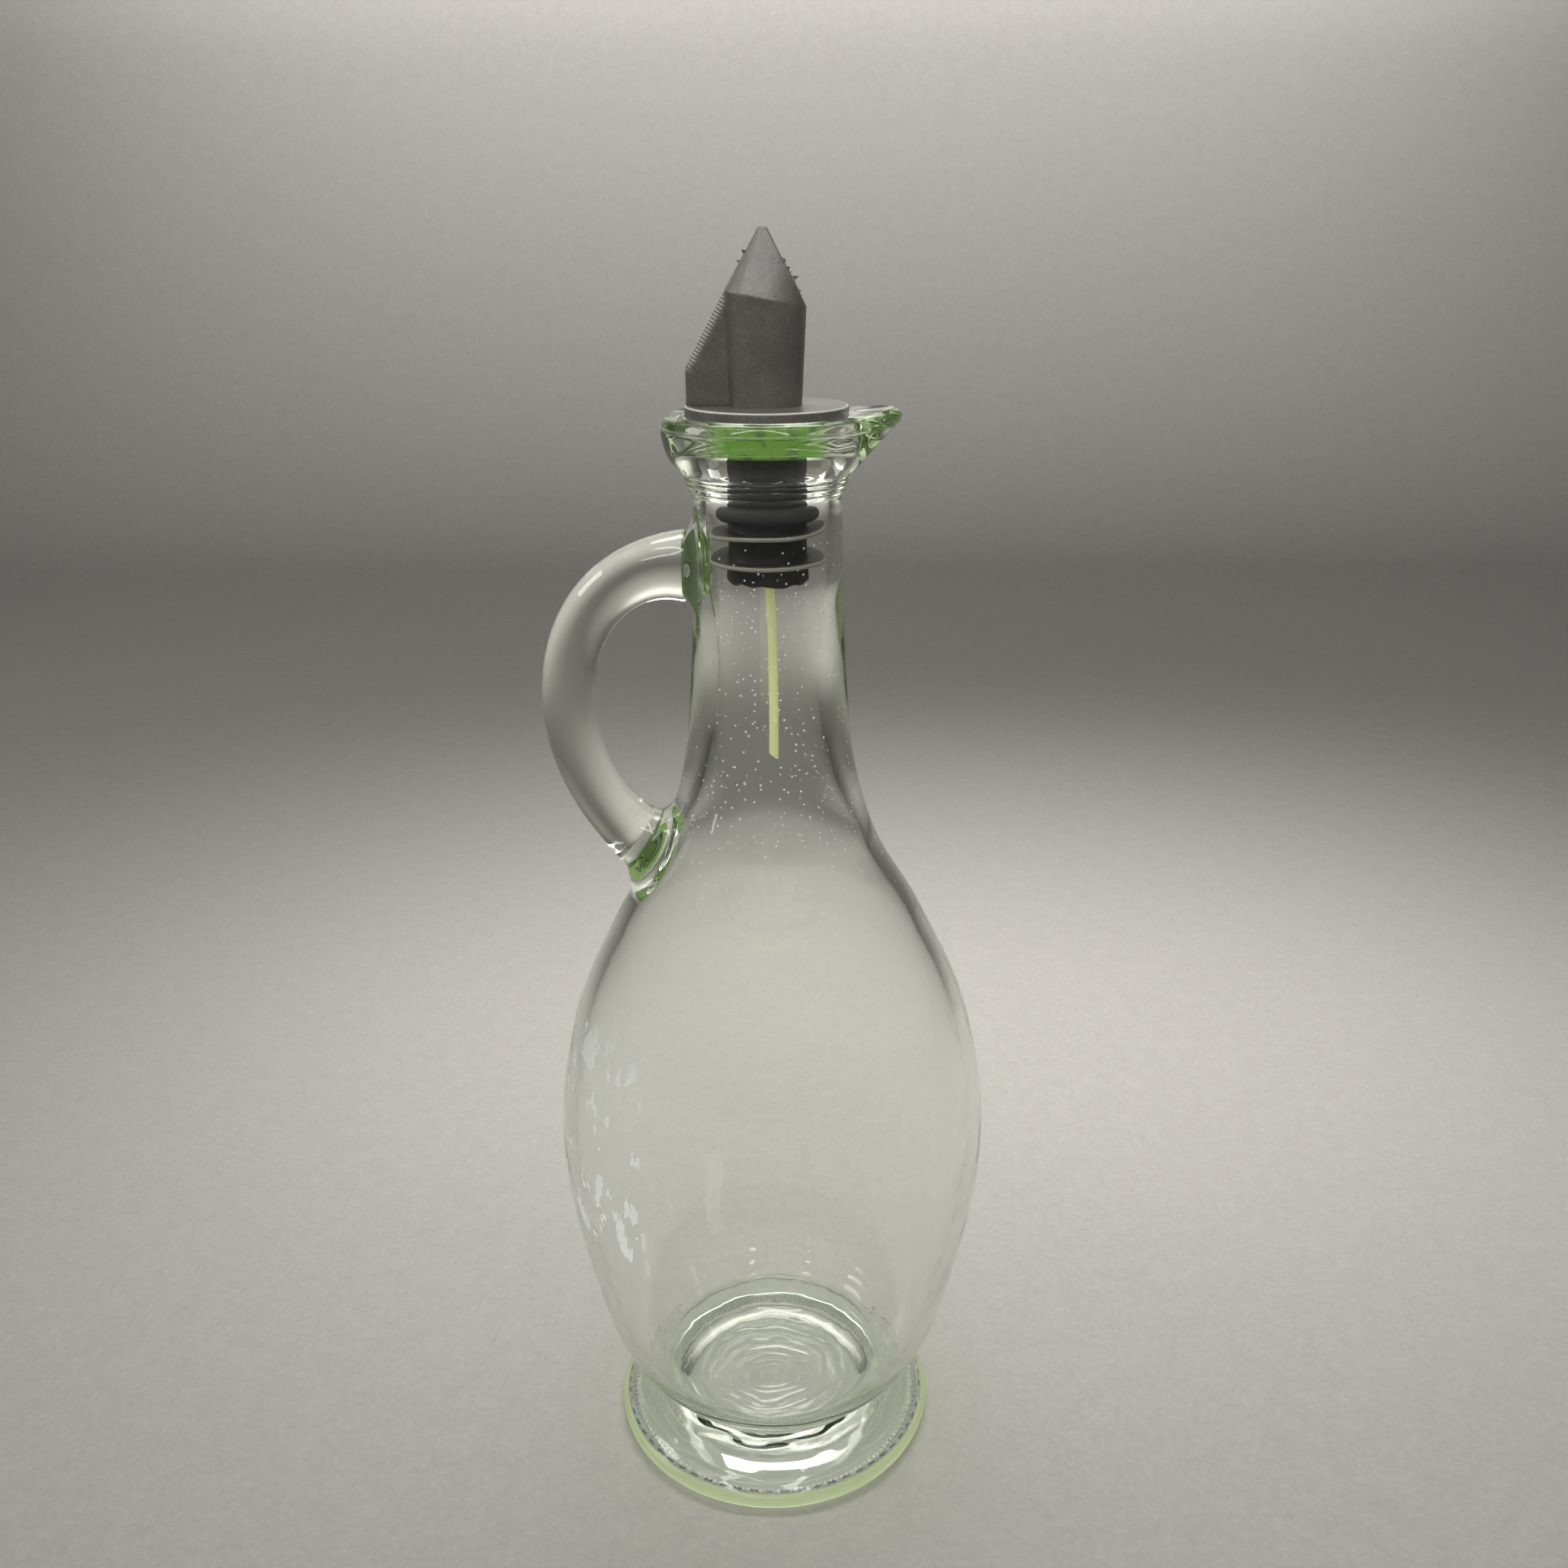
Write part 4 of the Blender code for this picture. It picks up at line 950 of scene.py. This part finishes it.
# Painted highlight: the fin's rounded ridge is painted lighter where it would catch the light, with the
# moulded ribs showing in it
ridge_sheen = near_ridge * (ribs * 0.5 + 0.5)
# Painted highlight: a pale line along the disc's top corner
on_corner = radius.above(14.15, 14.35) * z.above(221.85, 222.0)
face = ridge_sheen.mix(tone.mix(SATIN_DARK, SATIN_LIGHT), SATIN_RIDGE_SHEEN)
satin.set(Base_Color=on_corner.mix(face, SATIN_CORNER_HIGHLIGHT), Roughness=grain * 0.12 + 0.28,
          Specular_IOR_Level=1.0)
satin.bump(grain + ribs * near_ridge * 1.2, 0.10 * MM)

flake = Finish("pourer_flash_plastic")
flake.set(Base_Color=flake.noise(0.8 * MM).mix(FLAKE_DARK, FLAKE_LIGHT), Roughness=0.25)

soft = Finish("plug_soft_plastic")
scuff = soft.noise(3 * MM, detail=4.0, roughness=0.65)
radius = soft.axes()[3]
# Painted light: the fins are painted lighter than the plug's body, as their tops catch the light, and their
# rims carry a painted highlight
on_seal, on_rim = radius.above(7.6, 10.4), radius.above(10.40, 10.60)
body_tone = scuff.ramp(0.4, 0.8).mix(SOFT_BLACK, SOFT_SCUFFED)
soft.set(Base_Color=on_rim.mix(on_seal.mix(body_tone, SEAL_LIT_TONE), SEAL_RIM_HIGHLIGHT),
         Roughness=scuff * 0.2 + 0.42, Specular_IOR_Level=0.22)
soft.bump(soft.noise(0.5 * MM), 0.03 * MM, 0.5)

straw = Finish("tube_straw_plastic")
milk = straw.noise(4 * MM)
straw.set(Base_Color=milk.ramp(0.3, 0.7).mix(STRAW_YELLOW, STRAW_PALE), Roughness=0.30,
          Transmission_Weight=0.12, IOR=1.45, Emission_Color=STRAW_LIGHT, Emission_Strength=0.16)
straw.bump(milk, 0.05 * MM, 0.4)

for piece in (disc, spout):
    piece.data.materials.append(satin.material)
for piece in (left_flash, right_flash):
    piece.data.materials.append(flake.material)
plug.data.materials.append(soft.material)
tube.data.materials.append(straw.material)
print("Materials made:", len(bpy.data.materials))

# %% [markdown]
# ## Bodies
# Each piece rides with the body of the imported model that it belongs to, so the stopper lifts out as
# one and the hard pourer turns in its plug.

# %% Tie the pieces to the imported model
for piece, body, slot, nodes in (
        (bottle, "bottle", "bottle_glass", ["glass_bottle"]),
        (rod, "bottle", "handle_glass", ["glass_handle"]),
        (disc, "pourer", "satin_plastic", ["pourer_spout"]),
        (spout, "pourer", "satin_plastic", []),
        (left_flash, "pourer", "satin_plastic", []),
        (right_flash, "pourer", "satin_plastic", []),
        (plug, "plug", "soft_plastic", ["sealing_plug"]),
        (tube, "pourer", "tube_plastic", ["vent_tube"])):
    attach(piece, body)
    if nodes:
        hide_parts(*nodes)
    print(piece.name, "rides on", body)

# %% [markdown]
# ## Paper and light
# The bottle stands on a roll of grey card that curves up behind it, so the glass shows a soft change
# from pale to darker grey. Two crossed strip lamps above the front give the main light. A broad fill
# softens it, and is kept out of reflections and of what the glass refracts. One lamp hangs at the
# left, one shines down behind the bottle, and one lights the upright part of the card.

# %% Paper sweep
SWEEP_HALF_WIDTH, SWEEP_FRONT, SWEEP_TURN, SWEEP_BEND, SWEEP_HEIGHT = 1.8, -1.4, 0.75, 0.40, 1.5
CARD_DARK, CARD_LIGHT = (0.31, 0.30, 0.287), (0.375, 0.365, 0.347)
deselect_all()
bpy.ops.mesh.primitive_plane_add(size=MM, location=(0, 0, 0))
paper = name_active("paper_sweep")
bpy.ops.object.mode_set(mode='EDIT')
bpy.ops.mesh.merge(type='CENTER')
sweep = [(SWEEP_FRONT, 0.0)]
sweep += arc(SWEEP_TURN, SWEEP_BEND, SWEEP_BEND, -90, 0, 30)
sweep += [(SWEEP_TURN + SWEEP_BEND, SWEEP_HEIGHT)]
bpy.ops.transform.translate(value=(-SWEEP_HALF_WIDTH, sweep[0][0], sweep[0][1]))
for start, end in zip(sweep, sweep[1:]):
    step = (0, end[0] - start[0], end[1] - start[1])
    bpy.ops.mesh.extrude_region_move(TRANSFORM_OT_translate={"value": step})
bpy.ops.mesh.select_all(action='SELECT')
bpy.ops.mesh.extrude_region_move(TRANSFORM_OT_translate={"value": (2 * SWEEP_HALF_WIDTH, 0, 0)})
bpy.ops.mesh.select_all(action='SELECT')
bpy.ops.mesh.normals_make_consistent(inside=False)
bpy.ops.object.mode_set(mode='OBJECT')
shade_smooth(paper, radians(60))
card = Finish("grey_card")
fibre = card.noise(1.6 * MM, detail=5.0, roughness=0.7)
blotch = card.noise(6 * MM, detail=3.0)
mottle = fibre.ramp(0.25, 0.75) * 0.7 + blotch.ramp(0.2, 0.8) * 0.3
card.set(Base_Color=mottle.mix(CARD_DARK, CARD_LIGHT), Roughness=0.85)
card.bump(fibre, 0.10 * MM, 0.6)
paper.data.materials.append(card.material)
print("Paper turns up", SWEEP_TURN, "m behind the bottle")

# %% Lamps
LAMP_COLOUR = (1.0, 0.985, 0.95)
STRIP_TURN = radians(32)
STRIP_PLACE, STRIP_AIM = (-0.05, -0.36, 0.90), (0.0, 0.0, 0.20)
STRIP_SIZE, STRIP_WATTS = (0.95, 0.08), 1.6


def area_lamp(name, place, aim, size, watts, turn=0.0, spread=pi):
    """A rectangular lamp at a place, aimed at a point; lengths are in metres."""
    data = bpy.data.lights.new(name, 'AREA')
    data.shape, (data.size, data.size_y), data.spread = 'RECTANGLE', size, spread
    data.energy, data.color = watts, LAMP_COLOUR
    lamp = bpy.data.objects.new(name, data)
    bpy.context.collection.objects.link(lamp)
    facing = (Vector(aim) - Vector(place)).to_track_quat('-Z', 'Y').to_matrix()
    lamp.matrix_world = Matrix.Translation(place) @ (facing @ Matrix.Rotation(turn, 3, 'Z')).to_4x4()
    return lamp


for side in (-1, 1):
    area_lamp("front_key", STRIP_PLACE, STRIP_AIM, STRIP_SIZE, STRIP_WATTS, turn=side * STRIP_TURN)
fill = area_lamp("front_fill", (0.0, -1.25, 0.95), (0.0, 0.0, 0.18), (1.30, 0.80), 4.4)
fill.visible_glossy = False
fill.visible_transmission = False
area_lamp("left_lamp", (-0.85, 0.05, 0.70), (0.0, 0.0, 0.22), (0.36, 0.26), 1.6)
area_lamp("back_lamp", (0.06, 0.19, 0.50), (0.06, 0.17, 0.0), (0.46, 0.16), 0.85, spread=radians(80))
area_lamp("wall_lamp", (0.04, 0.84, 0.70), (0.04, 1.15, 0.70), (1.30, 0.12), 9.0)

# %% Soft surroundings, dim below and pale overhead for mirrors and glass
DIM, PALE = (0.08, 0.08, 0.078), (0.62, 0.62, 0.60)
world = bpy.data.worlds.new("soft_surroundings")
bpy.context.scene.world = world
world.use_nodes = True
sky = world.node_tree
dim = sky.nodes["Background"]
feed(dim.inputs["Color"], DIM)
pale = sky.nodes.new("ShaderNodeBackground")
feed(pale.inputs["Color"], PALE)
split = sky.nodes.new("ShaderNodeSeparateXYZ")
feed(split.inputs[0], Value(sky, sky.nodes.new("ShaderNodeTexCoord").outputs["Generated"]))
overhead = Value(sky, split.outputs["Z"]).ramp(0.15, 0.95)
ray = sky.nodes.new("ShaderNodeLightPath")
glossy, through_glass = [Value(sky, ray.outputs[key]) for key in ("Is Glossy Ray", "Is Transmission Ray")]
shown = glossy.math('MAXIMUM', through_glass) * overhead
both = sky.nodes.new("ShaderNodeMixShader")
for slot, item in zip(both.inputs, (shown, Value(sky, dim.outputs[0]), Value(sky, pale.outputs[0]))):
    feed(slot, item)
sky.links.new(both.outputs[0], sky.nodes["World Output"].inputs["Surface"])
print("Nodes in the surroundings:", len(sky.nodes))
